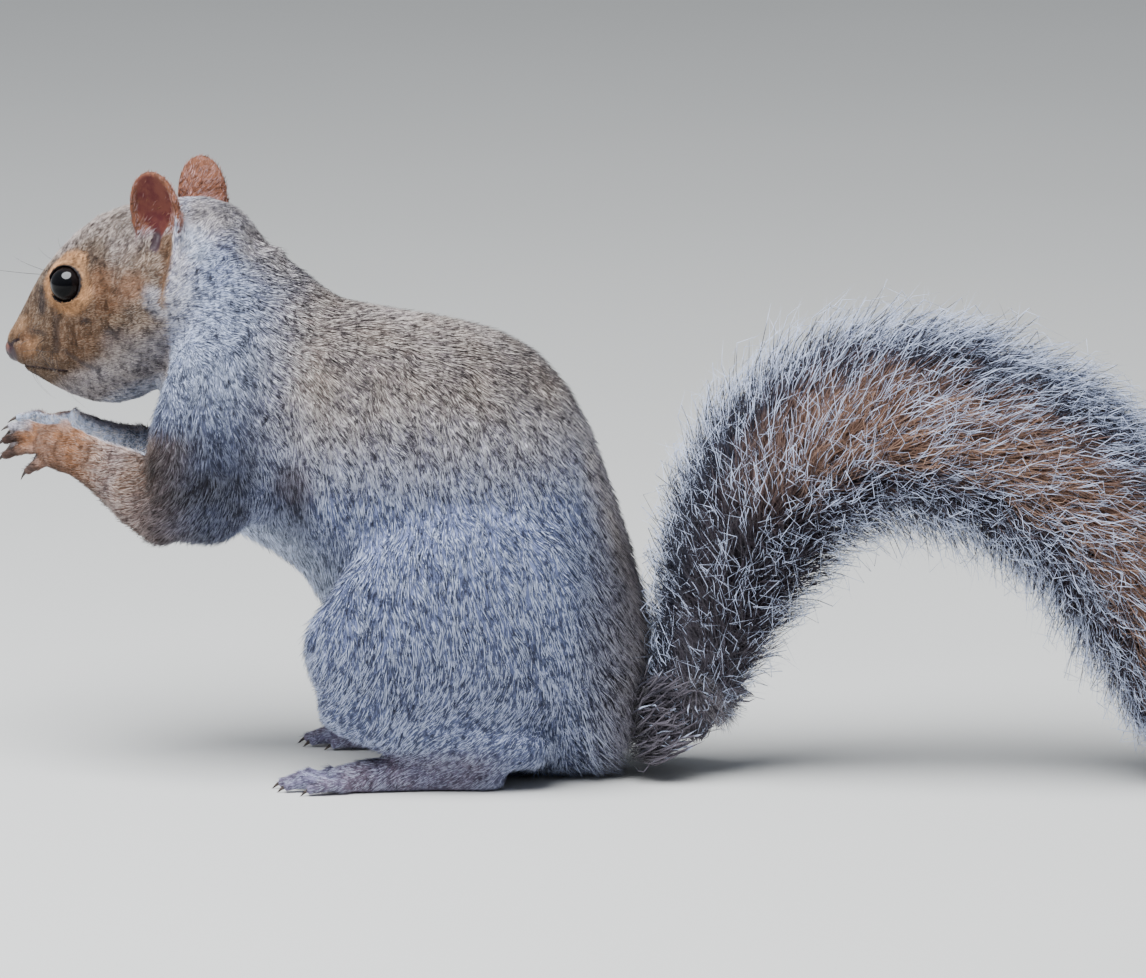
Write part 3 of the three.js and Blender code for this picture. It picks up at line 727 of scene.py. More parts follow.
# %% Thin out the skin's triangles
SKIN_TRIANGLES = 190_000
thinning = skin.modifiers.new("thin out", "DECIMATE")
thinning.ratio = SKIN_TRIANGLES / (2 * len(faces))
thinning.use_collapse_triangulate = True
bpy.context.view_layer.objects.active = skin
skin.select_set(True)
bpy.ops.object.modifier_apply(modifier="thin out")
SKIN_POINTS, SKIN_FACES = shape_of(skin)
print("skin", len(SKIN_POINTS), "corners", len(SKIN_FACES), "triangles")

# %% [markdown]
# ## Markings
# A grey squirrel isn't grey. Its back and crown are tan, its flanks bluish, its belly and throat white, its
# face and paws rusty, and there are buff rings round the eyes. Each marking is a mask from 0 to 1 that is
# worked out from where a point lies on the body. The dark mask also carries painted shade: in the creases and
# hollows of the face, along the fold under the ear, in the armpit, under the arms and low on the body. Skin
# and coat call the same function, so a marking on the skin continues in the hair that grows from it.

# %% Ovals and lines that markings are made of
# The dark mask holds painted shade as well as dark fur, and the lip mask holds painted shade in the nostrils
# and the ear canals.
MARK_NOTES = ("marks", "more_marks", "bare_marks")  # tan, pale, rust; dark, buff, rim; ear, hollow, lip


def blob(points, centre, radii, soft=0.5):
    """1 inside an oval on either side of the body, fading to 0 over its rim."""
    sided = np.concatenate([np.abs(points[:, :1]), points[:, 1:]], axis=1)
    away = np.linalg.norm((sided - centre) / radii, axis=1)
    return 1 - ease(away, 1 - soft, 1 + soft)


def near_line(face, line):
    """Distance in mm, seen from the side, from points of the head to a line of (back, up) points."""
    gap = np.full(len(face), 99.0)
    for start, end in zip(np.array(line[:-1]), np.array(line[1:])):
        run = end - start
        t = np.clip((face[:, 1:] - start) @ run / (run @ run), 0, 1)
        gap = np.minimum(gap, np.linalg.norm(face[:, 1:] - start - t[:, None] * run, axis=1))
    return gap


# %% Painted shade in the creases of the face, and dark spots
# a line of (back, up) points, half its width in mm, how dark it is
# Painted shade lies along the creases from the eye to the mouth, behind the nostril and at the mouth's corner,
# in the hollow before the eye, and along the fold under the ear; the two spots on the cheek are dark fur.
FACE_CREASE_SHADE_AND_SPOTS = [
    ([(-6.4, -3.4), (-9.9, -7.7), (-13.7, -13.7)], 1.6, 0.8),  # from the eye down to the mouth
    ([(-10.0, 2.4), (-13.0, -2.4)], 1.9, 0.8),  # the hollow before the eye
    ([(-21.0, -4.9), (-15.0, -8.6)], 0.9, 0.75),  # behind the nostril
    ([(-11.0, -15.5), (-8.0, -20.5), (-5.0, -24.5)], 0.9, 0.8),  # the corner of the mouth
    ([(-1.2, -10.6), (0.6, -11.6)], 0.9, 0.85),  # two dark spots on the cheek
    ([(4.2, -16.6), (6.2, -17.4)], 0.8, 0.75),
    ([(7.5, -24.5), (9.5, -26.5)], 2.0, 0.5),
    ([(15.0, -24.5), (17.0, -27.0)], 1.6, 0.5),
    ([(29.2, -9.2), (30.0, -11.0)], 0.8, 0.85),  # the fold under the ear
    ([(31.2, -13.0), (28.0, -18.5)], 0.9, 0.6),
]
NECK_NICK = [(38.3, -11.6), (41.8, -9.2)]  # a short dark parting in the fur behind the ear
EAR_FLAP = [(33.0, -2.0), (31.5, -8.0), (28.5, -13.0)]  # the tan fold that leads down from the ear
print("streaks on the face", len(FACE_CREASE_SHADE_AND_SPOTS))


# %% Where each marking lies
def marks_at(points, normals):
    """Masks of the markings and of painted shade, in the order of MARK_NOTES, for points with the directions
    they face.
    """
    x, y, z = np.abs(points[:, 0]) / MM, points[:, 1] / MM, points[:, 2] / MM
    face = in_head(points)
    fx, fy, fz = np.abs(face[:, 0]), face[:, 1], face[:, 2]
    side_face = np.stack([fx, fy, fz], axis=1)
    faces_in = -normals[:, 0] * np.sign(points[:, 0])
    belly_way = normals @ np.array([0, -0.8, -0.6])
    behind = np.interp(fz, [-38, -18, -8.6, 0.5, 6, 14], [13, 25.5, 33.2, 40, 38, 30])  # where the neck begins
    blur = np.interp(fz, [-10, 2, 8], [1.5, 3.0, 8.0])
    head = (1 - ease(fy, behind - blur, behind + blur * 0.6)) * ease(z, 99, 100.5)
    head = head * ease(fz - 0.35 * fy, -43, -40) * (np.linalg.norm(face, axis=1) < 60)
    body = 1 - head
    on_face = (1 - ease(fy, 8, 34)) * head
    arm = ease(-y, 110, 129) * (1 - ease(z, 97, 103)) * body
    foot = (1 - ease(z, 8, 16)) * ease(-y, 22, 40)
    jaw = ease(-fz, 19, 27)

    tan = 0.78 * ease(z, 76, 116) * ease(y, -108, -80) * body
    faces_up = ease(normals[:, 1] * 0.7 + normals[:, 2] * 0.7, 0.2, 0.7)
    tan = np.maximum(tan, 0.6 * (1 - ease(x, 7, 20)) * faces_up * body)
    tan = np.maximum(tan, 0.5 * ease(y, -12, 6) * body)
    tan = np.maximum(tan, on_face * (1.0 - 0.3 * ease(fz, 4, 11)) * (1 - 0.55 * jaw))
    tan = np.maximum(tan, head * (0.89 - 0.14 * ease(fz, -6, 4)) * (1 - 0.18 * jaw))
    flap = (1 - ease(near_line(face, EAR_FLAP), 1.5, 4.0)) * ease(fx, 11, 13) * head
    tan = np.maximum(tan, 0.95 * flap)
    tan = np.maximum(tan, 0.7 * blob(side_face, (9, 50, 1), (20, 17, 11)) * body)
    near_head = (1 - ease(fy - behind, 1, 13)) * ease(fz, -34, -20) * body
    tan = np.maximum(tan, 0.5 * near_head)
    tan = np.maximum(tan, 0.7 * arm)
    ridge = (1 - ease(near_line(face, FOLD), 1.5, 3.2)) * ease(fx, 11, 13) * head
    tan = np.maximum(tan, 0.9 * ridge)

    pale = ease(belly_way, 0.3, 0.75) * (1 - ease(x, 17, 30)) * body * (1 - arm)
    pale = np.maximum(pale, ease(faces_in, 0.1, 0.6) * ease(-y, 60, 95) * ease(z, 60, 80) * body)
    pale = np.maximum(pale, 0.8 * blob(side_face, (0, -2, -38), (14, 22, 8)) * ease(-fz, 27, 33))
    pale = np.maximum(pale, 0.2 * jaw * head)
    pale = np.maximum(pale, 0.12 * blob(side_face, (17, 6, -22), (6, 6, 5)))
    pale = np.maximum(pale, 0.4 * blob(side_face, (18.6, 22.4, -17), (4, 3, 5)))
    pale = np.maximum(pale, 0.7 * blob(side_face, (17, 40, -8), (7, 4, 9)) * (1 - ease(-fz, 18, 24)))
    collar = ease(-y, 84, 108) * (1 - ease(-y, 130, 138)) * ease(z, 98, 118)
    pale = np.maximum(pale, 0.5 * collar * (1 - 0.65 * ease(z, 134, 148)) * body)
    pale = np.maximum(pale, 0.12 * ease(z, 70, 105) * ease(y, -104, -74) * body)
    pale = pale * (1 - ridge)

    rust = np.maximum(arm * (0.62 + 0.33 * ease(-y, 138, 152)) * (1 - ease(faces_in, 0.2, 0.7)), 0.45 * foot)
    rust = np.maximum(rust, 0.65 * blob(side_face, (17.5, 10, -4), (6, 5.5, 4.5)))
    rust = np.maximum(rust, 0.75 * blob(side_face, (18, 17.5, -9.5), (6, 5, 4.2)))
    rust = np.maximum(rust, 0.55 * blob(side_face, (17.5, 11.5, -9.5), (7, 8, 4)))
    rust = np.maximum(rust, 0.6 * blob(side_face, (5.5, -21.5, -9), (4, 5, 4)))
    rust = np.maximum(rust, 0.3 * blob(side_face, (12, -4, -14), (9, 12, 8)))
    rust = np.maximum(rust, 0.35 * ridge)
    rust = np.maximum(rust, 0.4 * flap)
    rust = np.maximum(rust, 0.35 * blob(points / MM, (27, -88, 86), (8, 5, 6)))

    # painted shade with darker fur: the upper arm darkens towards its lower side
    upper_arm = (1 - ease(z, 90, 120)) * ease(-y, 92, 102) * (1 - ease(-y, 124, 136)) * ease(x, 13, 22)
    dark_and_shade = 0.95 * upper_arm * body
    # painted shade in the armpit and behind the elbow
    dark_and_shade = np.maximum(dark_and_shade, 0.85 * blob(points / MM, (26, -90, 76), (13, 8, 18)))
    dark_and_shade = np.maximum(dark_and_shade, 0.5 * blob(points / MM, (22, -76, 56), (14, 10, 16)))
    # painted shade low on the body, darker towards the floor
    dark_and_shade = np.maximum(dark_and_shade, 0.3 * (1 - ease(z, 22, 66)) * ease(y, -88, -50) * body)
    dark_and_shade = np.maximum(dark_and_shade, 0.85 * ease(y, -16, 2) * (1 - ease(z, 62, 100)))
    dark_and_shade = np.maximum(dark_and_shade, head * (0.3 + 0.26 * ease(fz, -7, 5)))
    dark_and_shade = np.maximum(dark_and_shade, 0.55 * blob(side_face, (9, 50, 1), (20, 16, 10)))
    # painted shade with darker fur: the arm darkens where it faces down
    dark_and_shade = np.maximum(dark_and_shade, 0.6 * arm * ease(-normals[:, 2], 0.15, 0.8))
    dark_and_shade = np.maximum(dark_and_shade, 0.9 * (1 - ease(near_line(face, NECK_NICK), 0.4, 1.3)) * ease(fx, 9, 12))
    # painted shade in the creases of the face, with its dark spots
    for line, half, depth in FACE_CREASE_SHADE_AND_SPOTS:
        streak = 1 - ease(near_line(face, line), half * 0.4, half * 1.5)
        dark_and_shade = np.maximum(dark_and_shade, depth * streak * ease(fx, 3, 5) * head)
    dark_and_shade = np.maximum(dark_and_shade, 0.5 * blob(side_face, (0, 4, 14), (5, 20, 7)))
    dark_and_shade = np.maximum(dark_and_shade, 0.85 * ease(y, 4, 10) * (1 - ease(z, 60, 90)))
    for number in range(8):
        gap, along, _ = from_digit(points, number)
        on_digit = (1 - ease(gap, 1.3, 2.2)) * ease(along, -4.0, 1.5)
        if number < 2:  # the top digit of each hand
            pale, rust = np.maximum(pale, 0.55 * on_digit), rust * (1 - 0.5 * on_digit)
            dark_and_shade = dark_and_shade * (1 - on_digit)
        else:
            dark_and_shade, pale = np.maximum(dark_and_shade, 0.85 * on_digit), pale * (1 - on_digit)

    from_eye = side_face - np.array([eye_at[0], 0.0, 0.0])
    around = np.hypot(from_eye @ EYE_BACK * 0.9, from_eye @ EYE_UP)
    buff = ease(fx, 5, 8) * (1 - ease(around, 7.7, 9.6)) * ease(around, 4.6, 5.2)
    buff = buff * ease(from_eye @ EYE_BACK, -8.5, -5.5)
    buff = np.maximum(buff, 0.35 * blob(side_face, (4, -22, -3.5), (4, 6, 2.5)))
    buff = np.maximum(buff, 0.35 * blob(side_face, (6, -20.5, -10), (4, 4, 2.5)))
    bare = ease(fx, 5, 8) * (1 - ease(around, 5.2, 5.6))

    rise, way, facing, rim, sheet = on_ear(face)
    ear = ease(rise, 0, 4) * (1 - ease(rim, 1.08, 1.2)) * (1 - ease(np.abs(facing - sheet), 2.0, 3.0))
    sided = (normals @ HEAD) * np.stack([np.sign(face[:, 0]), np.ones(len(face)), np.ones(len(face))], axis=1)
    # the bare cup of the ear; its dark colour is partly painted shade in the hollow
    hollow = ease(sided @ EAR_FACING, 0.0, 0.3) * (1 - ease(bowl_of(rise, way), 0.85, 1.05))
    hollow = hollow * (np.abs(facing - sheet) < 4) * (rim < 1)
    # painted shade in the ear canal: its opening takes the dark lip colour
    canal = 1 - ease(np.linalg.norm(np.stack([way + 1.2, (rise + 0.4) * 0.6], axis=1), axis=1), 1.2, 2.2)
    canal = canal * (np.abs(facing - sheet) < 5) * ease(face[:, 2], -8, -4)
    lip_and_hole_shade = blob(side_face, (0, -30.2, -8.4), (6.6, 4.4, 4.0), 0.2)
    lip_and_hole_shade = np.maximum(lip_and_hole_shade, (1 - ease(near_line(face, LIPS), 0.1, 0.45)) * (1 - ease(fx, 13, 15)) * head)
    # painted shade in the nostril slits, which take the dark lip colour
    nostril = (1 - ease(near_line(face, NOSTRIL), 0.3, 0.8)) * ease(fx, 1, 2) * (1 - ease(fx, 6, 8))
    lip_and_hole_shade = np.maximum(lip_and_hole_shade, nostril)
    lip_and_hole_shade = np.maximum(lip_and_hole_shade, canal)
    off = 1 - np.maximum(ear, hollow)
    pale, dark_and_shade, buff, tan = pale * off, dark_and_shade * off, buff * off, tan * off
    rust = np.maximum(rust * off, ear)
    return np.stack([tan, pale, rust, dark_and_shade, buff, bare, ear, hollow, lip_and_hole_shade], axis=1)


# %% Mark the skin
def normals_of(points, faces, rounds):
    """The direction that a mesh faces at each corner, evened out with its neighbours'."""
    flat = np.cross(points[faces[:, 1]] - points[faces[:, 0]], points[faces[:, 2]] - points[faces[:, 0]])
    normals = np.stack(
        [sum(np.bincount(faces[:, c], flat[:, k], len(points)) for c in range(3)) for k in range(3)], axis=-1
    )
    return unit(relaxed(unit(normals), faces, np.full(len(points), 0.5), rounds))


SKIN_LIE_NORMALS = normals_of(SKIN_POINTS.astype(float), SKIN_FACES, 4)
skin_marks = marks_at(SKIN_POINTS.astype(float), SKIN_LIE_NORMALS)
for number, name in enumerate(MARK_NOTES):
    note(skin, name, skin_marks[:, 3 * number : 3 * number + 3])
print("marks cover", skin_marks.mean(axis=0).round(2))

# %% [markdown]
# ## How a tuft is made
# Hair could be made as curves, but curves are dropped when a model leaves Blender, and real hairs are far too
# many. Museum sculptors build fur from tufts, and so does this model: each tuft is a closed sliver that rises
# from the skin and runs out to a point. The short ones take four triangles and run straight; the long hair of
# the tail takes up to eighteen, and swells and bends on its way. All the tufts of one part of the body are
# joined in one mesh.

# %% Weave slivers into one mesh
def spikes(path, widths, side, flat=0.45):
    """Closed slivers of four triangles: a root of three corners, and a tip."""
    (root, tip), half = path, widths[0][:, None] / 2
    up = unit(np.cross(side, unit(tip - root)))
    points = np.stack([root - side * half, root + side * half, root + up * half * 2 * flat, tip], axis=1)
    cells = np.array([(0, 2, 1), (0, 1, 3), (1, 2, 3), (2, 0, 3)])
    triangles = np.arange(len(root))[:, None, None] * 4 + cells[None]
    return points, triangles.reshape(-1, 3)


def slivers(path, widths, side, flat=0.45):
    """Closed slivers along paths of n points: a root, rings of three corners, and a tip."""
    count, rings = len(path[0]), len(path) - 2
    points = np.empty((count, 2 + 3 * rings, 3))
    points[:, 0], points[:, -1] = path[0], path[-1]
    for ring in range(rings):
        centre, run = path[ring + 1], unit(path[ring + 2] - path[ring])
        up = unit(np.cross(side, run))
        half = widths[ring][:, None] / 2
        points[:, 1 + 3 * ring] = centre - side * half
        points[:, 2 + 3 * ring] = centre + side * half
        points[:, 3 + 3 * ring] = centre + up * half * 2 * flat
    cells = [(0, 2, 1), (0, 3, 2), (0, 1, 3)]
    for ring in range(rings - 1):
        a, b = 1 + 3 * ring, 4 + 3 * ring
        for j in range(3):
            k = (j + 1) % 3
            cells += [(a + j, a + k, b + k), (a + j, b + k, b + j)]
    last, tip = 3 * rings - 2, 3 * rings + 1
    cells += [(last, last + 1, tip), (last + 1, last + 2, tip), (last + 2, last, tip)]
    triangles = np.arange(count)[:, None, None] * (2 + 3 * rings) + np.array(cells)[None]
    return points, triangles.reshape(-1, 3)


def sway(points, wavelength, seed):
    """A smooth, random-looking direction that changes over about a wavelength."""
    draw = np.random.default_rng(seed)
    total = np.zeros((len(points), 3))
    for _ in range(7):
        wave = unit(draw.normal(size=3)) * 2 * math.pi / wavelength * draw.uniform(0.6, 1.5)
        total += np.sin(points @ wave + draw.uniform(0, 6.28))[:, None] * unit(draw.normal(size=3))
    return total / 2


# %% [markdown]
# ## A map of the coat for baking
# When the model is exported, its colours are baked to a picture for each piece. A picture needs a map from
# the piece to flat paper. Each tuft gets its own small patch, at the place where its root lies on the skin
# when the skin is opened out into six sheets: left, right, front, back, top and underside.

# %% Unwrap roots by the way the skin faces
PATCH = 0.003
SHEETS = [(1, 2), (0, 2), (0, 1)]  # the two axes that a sheet spans, by the axis it faces


def opened_out(roots, normals):
    """A place on flat paper for each root, on the sheet that its skin faces."""
    facing = np.abs(normals).argmax(axis=1)
    sheet = facing * 2 + (normals[np.arange(len(roots)), facing] > 0)
    places = np.zeros((len(roots), 2))
    for number in range(6):
        here = sheet == number
        if not here.any():
            continue
        across_axis, up_axis = SHEETS[number // 2]
        flat = roots[here][:, [across_axis, up_axis]]
        size = np.maximum(np.ptp(flat, axis=0), 1e-6)
        cell = np.array([number % 3, number // 3]) / np.array([3, 2])
        places[here] = cell + 0.008 + (flat - flat.min(axis=0)) / size * (np.array([1 / 3, 1 / 2]) - 0.02)
    return places


# %% Make one piece of the coat
def coat_piece(name, roots, normals, path, widths, side, marks, mixed, zone=None, flat=0.45):
    """One piece of the coat: its mesh, its map, and what each tuft tells its material."""
    weave = spikes if len(path) == 2 else slivers
    points, triangles = weave(path, widths, side, flat)
    count, per = points.shape[:2]
    piece = mesh_of(name, points.reshape(-1, 3), triangles)
    if len(path) == 2:
        along, beside = np.array([0, 0, 0, 1.0]), np.array([-0.5, 0.5, 0, 0])
    else:
        rings = len(path) - 2
        steps_up = [np.full(3, (ring + 1) / (rings + 1)) for ring in range(rings)]
        along = np.concatenate([[0]] + steps_up + [[1]])
        beside = np.concatenate([[0]] + [np.array([-0.5, 0.5, 0.0])] * rings + [[0]])
    chance = 0.5 + (rng.random((count, 2)) - 0.5) * np.stack([mixed, np.sqrt(mixed)], axis=1)
    hair = np.empty((count, per, 3))
    hair[..., 0], hair[..., 1:] = along, chance[:, None]
    note(piece, "hair", hair.reshape(-1, 3))
    for number in range(marks.shape[1] // 3):
        note(piece, MARK_NOTES[number], np.repeat(marks[:, 3 * number : 3 * number + 3], per, axis=0))
    note(piece, "lie", np.repeat(normals, per, axis=0))
    if zone is not None:
        note(piece, "zone", zone.reshape(-1, 3))
    paper = opened_out(roots, normals)[:, None] + PATCH * np.stack([beside, along - 0.5], axis=-1)
    layer = piece.data.uv_layers.new(name="OFBake")
    layer.data.foreach_set("uv", paper.reshape(-1, 2)[triangles.ravel()].astype(np.float32).ravel())
    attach(piece, "root")
    print(name, count, "tufts", len(triangles), "triangles")
    return piece


# %% [markdown]
# ## Plant the short coat
# Roots are spread over the skin with even steps, more to a square millimetre on the face than on the back.
# Each tuft leaves its root at the lift its guides ask for and runs straight along the lie of the body. Small
# swings, shared with its neighbours, keep the coat from looking combed by a machine.

# %% Where the skin grows hair
corner = SKIN_POINTS[SKIN_FACES].astype(float)
face_middle = corner.mean(axis=1)
face_area = np.linalg.norm(np.cross(corner[:, 1] - corner[:, 0], corner[:, 2] - corner[:, 0]), axis=1) / 2
_, face_kind = groomed(face_middle)
face_marks = marks_at(face_middle, unit(SKIN_LIE_NORMALS[SKIN_FACES].mean(axis=1)))
hairy = (1 - face_marks[:, 5]) * (1 - 0.97 * face_marks[:, 7]) * (1 - face_marks[:, 8])
rise, way, facing, rim, sheet = on_ear(in_head(face_middle))
hairy *= 1 - 0.7 * ease(rim, 0.8, 0.95) * (1 - ease(rim, 1.1, 1.2)) * ease(rise, 3, 7)
hairy *= face_middle[:, 2] > 1.2 * MM
for knuckle, tip, way in digits:
    gap = face_middle - tip
    hairy *= 1 - 0.9 * (np.linalg.norm(gap, axis=1) < 1.9 * MM)
bone_points = bone_at(np.linspace(0.06, 1, 60))[0]
on_tail = np.zeros(len(face_middle), bool)
for spot_on_bone in bone_points:
    on_tail |= np.linalg.norm(face_middle - spot_on_bone, axis=1) < 9 * MM
on_tail &= face_middle[:, 1] > 15 * MM
hairy[on_tail] = 0
print("hairy skin", round((face_area * (hairy > 0.5)).sum() / MM**2), "square mm")


# %% Sow roots and plant tufts
def sow(faces_in, count):
    """Roots on the chosen faces of the skin, with the skin's direction at each."""
    worth = face_area * face_kind[:, 4] * hairy * faces_in
    total = np.cumsum(worth)
    picks = (np.arange(count) + rng.random(count)) / count * total[-1]
    chosen = np.searchsorted(total, picks)
    u, v = rng.random((2, count))
    u, v = np.where(u + v > 1, 1 - u, u), np.where(u + v > 1, 1 - v, v)
    mix = np.stack([1 - u - v, u, v], axis=1)[..., None]
    roots = (corner[chosen] * mix).sum(axis=1)
    return roots, unit((SKIN_LIE_NORMALS[SKIN_FACES[chosen]] * mix).sum(axis=1))


def plant(name, faces_in, most):
    """Sows and builds one piece of the short coat."""
    wanted = (face_area * face_kind[:, 4] * hairy * faces_in).sum() / MM**2
    count = int(min(wanted, most))
    roots, normals = sow(faces_in, count)
    lie, kind = groomed(roots)
    swing = sway(roots, 9 * MM, 3) * 0.22 + sway(roots, 2.6 * MM, 4) * 0.16
    swing = swing + rng.normal(size=roots.shape) * 0.13
    lie = lie + swing
    lie = unit(lie - normals * (lie * normals).sum(axis=1, keepdims=True))
    side = np.cross(lie, normals)
    length = kind[:, 1] * MM * rng.uniform(0.7, 1.25, count)
    width = kind[:, 2] * MM * rng.uniform(0.7, 1.35, count)
    lift = np.radians(kind[:, 3] * rng.uniform(0.35, 1.35, count))
    start = roots - normals * 0.12 * MM
    tip = start + (lie * np.cos(lift)[:, None] + normals * np.sin(lift)[:, None]) * length[:, None]
    for part in (start, tip):
        part[:, 2] = np.maximum(part[:, 2], 0.3 * MM)
    marks = marks_at(roots, normals)
    piece = coat_piece(name, roots, normals, [start, tip], [width], side, marks, kind[:, 5])
    print(" wanted", int(wanted), "got", count)
    return piece


# %% Plant it part by part
fx, fy, fz = face_middle.T / MM
in_face = in_head(face_middle)
is_head = (in_face[:, 1] < 40) & (in_face[:, 2] > -36) & (fy < -104)
is_head &= np.linalg.norm(in_face - [0, 12, -6], axis=1) < 44
is_head &= (in_face[:, 1] < 33) | (in_face[:, 2] > -2)
is_arm = ~is_head & (fy < -93) & (fz < 112) & (np.abs(fx) > 5) | ~is_head & (fy < -112) & (fz < 100)
is_leg = ~is_head & ~is_arm & (fz < 84) & (np.abs(fx) > 17) & (fy < 0) | (fz < 14)
is_left = fx > 0
PARTS = {
    "coat_head_left": is_head & (in_face[:, 0] > 0),
    "coat_head_right": is_head & (in_face[:, 0] <= 0),
    "coat_arm_left": is_arm & is_left,
    "coat_arm_right": is_arm & ~is_left,
    "coat_leg_left": is_leg & is_left,
    "coat_leg_right": is_leg & ~is_left,
    "coat_trunk_left": ~is_head & ~is_arm & ~is_leg & is_left,
    "coat_trunk_right": ~is_head & ~is_arm & ~is_leg & ~is_left,
}
MOST = {"coat_head": 31_000, "coat_arm": 20_000, "coat_leg": 25_000, "coat_trunk": 29_000}
coats = {name: plant(name, where, MOST[name.rsplit("_", 1)[0]]) for name, where in PARTS.items()}

# %% [markdown]
# ## The brush of the tail
# Tail hairs are long. Each one leaves the bone almost square to it, then sweeps back towards the tip, and
# together they fill the brush that the solids give. So the brush is measured once, by rays from the bone,
# and every hair is drawn to end near it: guard hairs reach the outline and the rest stop short inside.

# %% How far the brush stands out round the bone
AROUND = np.linspace(0, 2 * math.pi, 25)
ALONG = np.linspace(0, 1, 41)
brush = np.zeros((len(ALONG), len(AROUND)))
centres, runs = bone_at(ALONG)
ups = unit(np.cross(runs, SIDE))
for i, (centre, up) in enumerate(zip(centres, ups)):
    for j, turn in enumerate(AROUND):
        found = brush_side(centre, SIDE * math.cos(turn) + up * math.sin(turn), 0.045)
        brush[i, j] = found if found else 0.006
for _ in range(3):
    brush[1:-1] = (brush[:-2] + 2 * brush[1:-1] + brush[2:]) / 4
print("brush reaches", (brush.max(axis=1) / MM).round(0)[::8], "mm from the bone")


def brush_reach(share, turn):
    """How far the brush reaches from the bone at a share of its length, in a direction round it."""
    a = np.clip(share, 0, 1) * (len(ALONG) - 1)
    b = (turn % (2 * math.pi)) / (2 * math.pi) * (len(AROUND) - 1)
    i, j = np.minimum(a.astype(int), len(ALONG) - 2), np.minimum(b.astype(int), len(AROUND) - 2)
    s, t = a - i, b - j
    here, next_round = (brush[i, k] * (1 - s) + brush[i + 1, k] * s for k in (j, j + 1))
    return here * (1 - t) + next_round * t


# %% Places in the brush
SWEEP_BACK = 24 * MM  # how far past its root a hair's tip lies, along the bone
TAIL_PARTS = {"root": (-0.05, 0.36), "arch": (0.36, 0.68), "end": (0.68, 1.0)}
UNDER_FUR, GUARD_HAIRS = 8_000, 9_000  # in each part
DROOP = 0.7  # radians by which hairs on the sides of the brush hang down


def around_bone(share, turn, away):
    """Points round the bone, and past its ends along its last directions."""
    centre, run = bone_at(np.clip(share, 0, 1))
    centre = centre + run * ((share - np.clip(share, 0, 1)) * BONE_LENGTH)[:, None]
    up = unit(np.cross(run, SIDE))
    way = SIDE * np.cos(turn)[:, None] + up * np.sin(turn)[:, None]
    return centre + way * away[:, None], way


def zone_of(part, share):
    """Where points lie in the brush: up it from -1 to 1, how far out sideways, and along the bone."""
    share = np.clip(share, 0, 1)
    centre, run = bone_at(share)
    up = unit(np.cross(run, SIDE))
    tall = ((part - centre) * up).sum(axis=1)
    upright = np.where(tall > 0, math.pi / 2, 1.5 * math.pi)
    aside = (part[:, 0] - centre[:, 0]) / brush_reach(share, 0 * share)
    return np.stack([-tall / brush_reach(share, upright), aside, share], axis=1)


def zones_of(path, shares):
    """The zone of every corner of slivers: one at the root and the tip, three at each ring between."""
    corners_of = [1] + [3] * (len(path) - 2) + [1]
    zones = [zone_of(part, share)[:, None] for part, share in zip(path, shares)]
    return np.concatenate([np.repeat(zone, n, axis=1) for zone, n in zip(zones, corners_of)], axis=1)


# %% Grow the tail hair
def grow_tail(name, first, last, count, guard):
    """One part of the brush: its guard hairs, or the short fur under them."""
    share = first + (last - first) * (np.arange(count) + rng.random(count)) / count
    turn = rng.random(count) * 2 * math.pi
    lateral = np.cos(turn)
    sweep = SWEEP_BACK / BONE_LENGTH * rng.uniform(0.6, 1.35, count)
    sweep = sweep * np.interp(share, [0, 0.15, 0.3], [0.5, 0.7, 1])
    fill = rng.uniform(0.72, 1.06, count) if guard else rng.uniform(0.4, 0.8, count)
    sweep *= 1 if guard else 0.7
    start, way = around_bone(share, turn, bone_radius(np.clip(share, 0, 1)) * 0.85)
    past_end = np.where(share + sweep > 1, np.maximum(1 - (share + sweep - 1) * 9, 0.15), 1)
    end_turn = turn - DROOP * lateral + rng.normal(size=count) * 0.2
    tip, _ = around_bone(share + sweep, end_turn, brush_reach(share + sweep, end_turn) * fill * past_end)
    part_way = share + sweep * 0.3
    bulge_turn = turn + rng.normal(size=count) * 0.1
    bulge, _ = around_bone(part_way, bulge_turn, brush_reach(part_way, turn) * fill * 0.78)
    bulge = bulge + sway(bulge, 20 * MM, 8) * 2.0 * MM
    curl = rng.normal(size=(count, 3)) * (2.7 * MM if guard else 1.2 * MM)
    flick = rng.normal(size=(count, 3)) * 2.4 * MM + sway(tip, 12 * MM, 9) * 2.4 * MM

    def on_curve(t):
        return start * (1 - t) ** 2 + bulge * 2 * t * (1 - t) + tip * t * t

    if guard:
        path = [start, on_curve(0.4), on_curve(0.75) + curl * 0.6, tip + flick - curl * 0.4]
        path.insert(3, on_curve(0.88) + curl + flick * 0.3)
        times, wide = [0, 0.25, 0.58, 0.75, 1], [0.25, 0.22, 0.17]
    else:
        path = [start, on_curve(0.5), tip + curl]
        times, wide = [0, 0.4, 1], [0.95]
    for part in path:
        part[:, 2] = np.maximum(part[:, 2], 0.8 * MM)
    side = unit(np.cross(unit(tip - start), way) + rng.normal(size=(count, 3)) * 0.5)
    thick = rng.uniform(0.75, 1.3, count) * MM
    marks = np.stack([share, np.full(count, float(guard)), fill], axis=1)
    zone = zones_of(path, [share + sweep * t for t in times])
    widths = [w * thick for w in wide]
    return coat_piece(name, start, way, path, widths, side, marks, np.ones(count), zone, flat=0.6)


tail_coats = []
for part_name, (first, last) in TAIL_PARTS.items():
    tail_coats.append(grow_tail(f"tail_under_fur_{part_name}", first, last, UNDER_FUR, False))
    tail_coats.append(grow_tail(f"tail_guard_hair_{part_name}", first, last, GUARD_HAIRS, True))

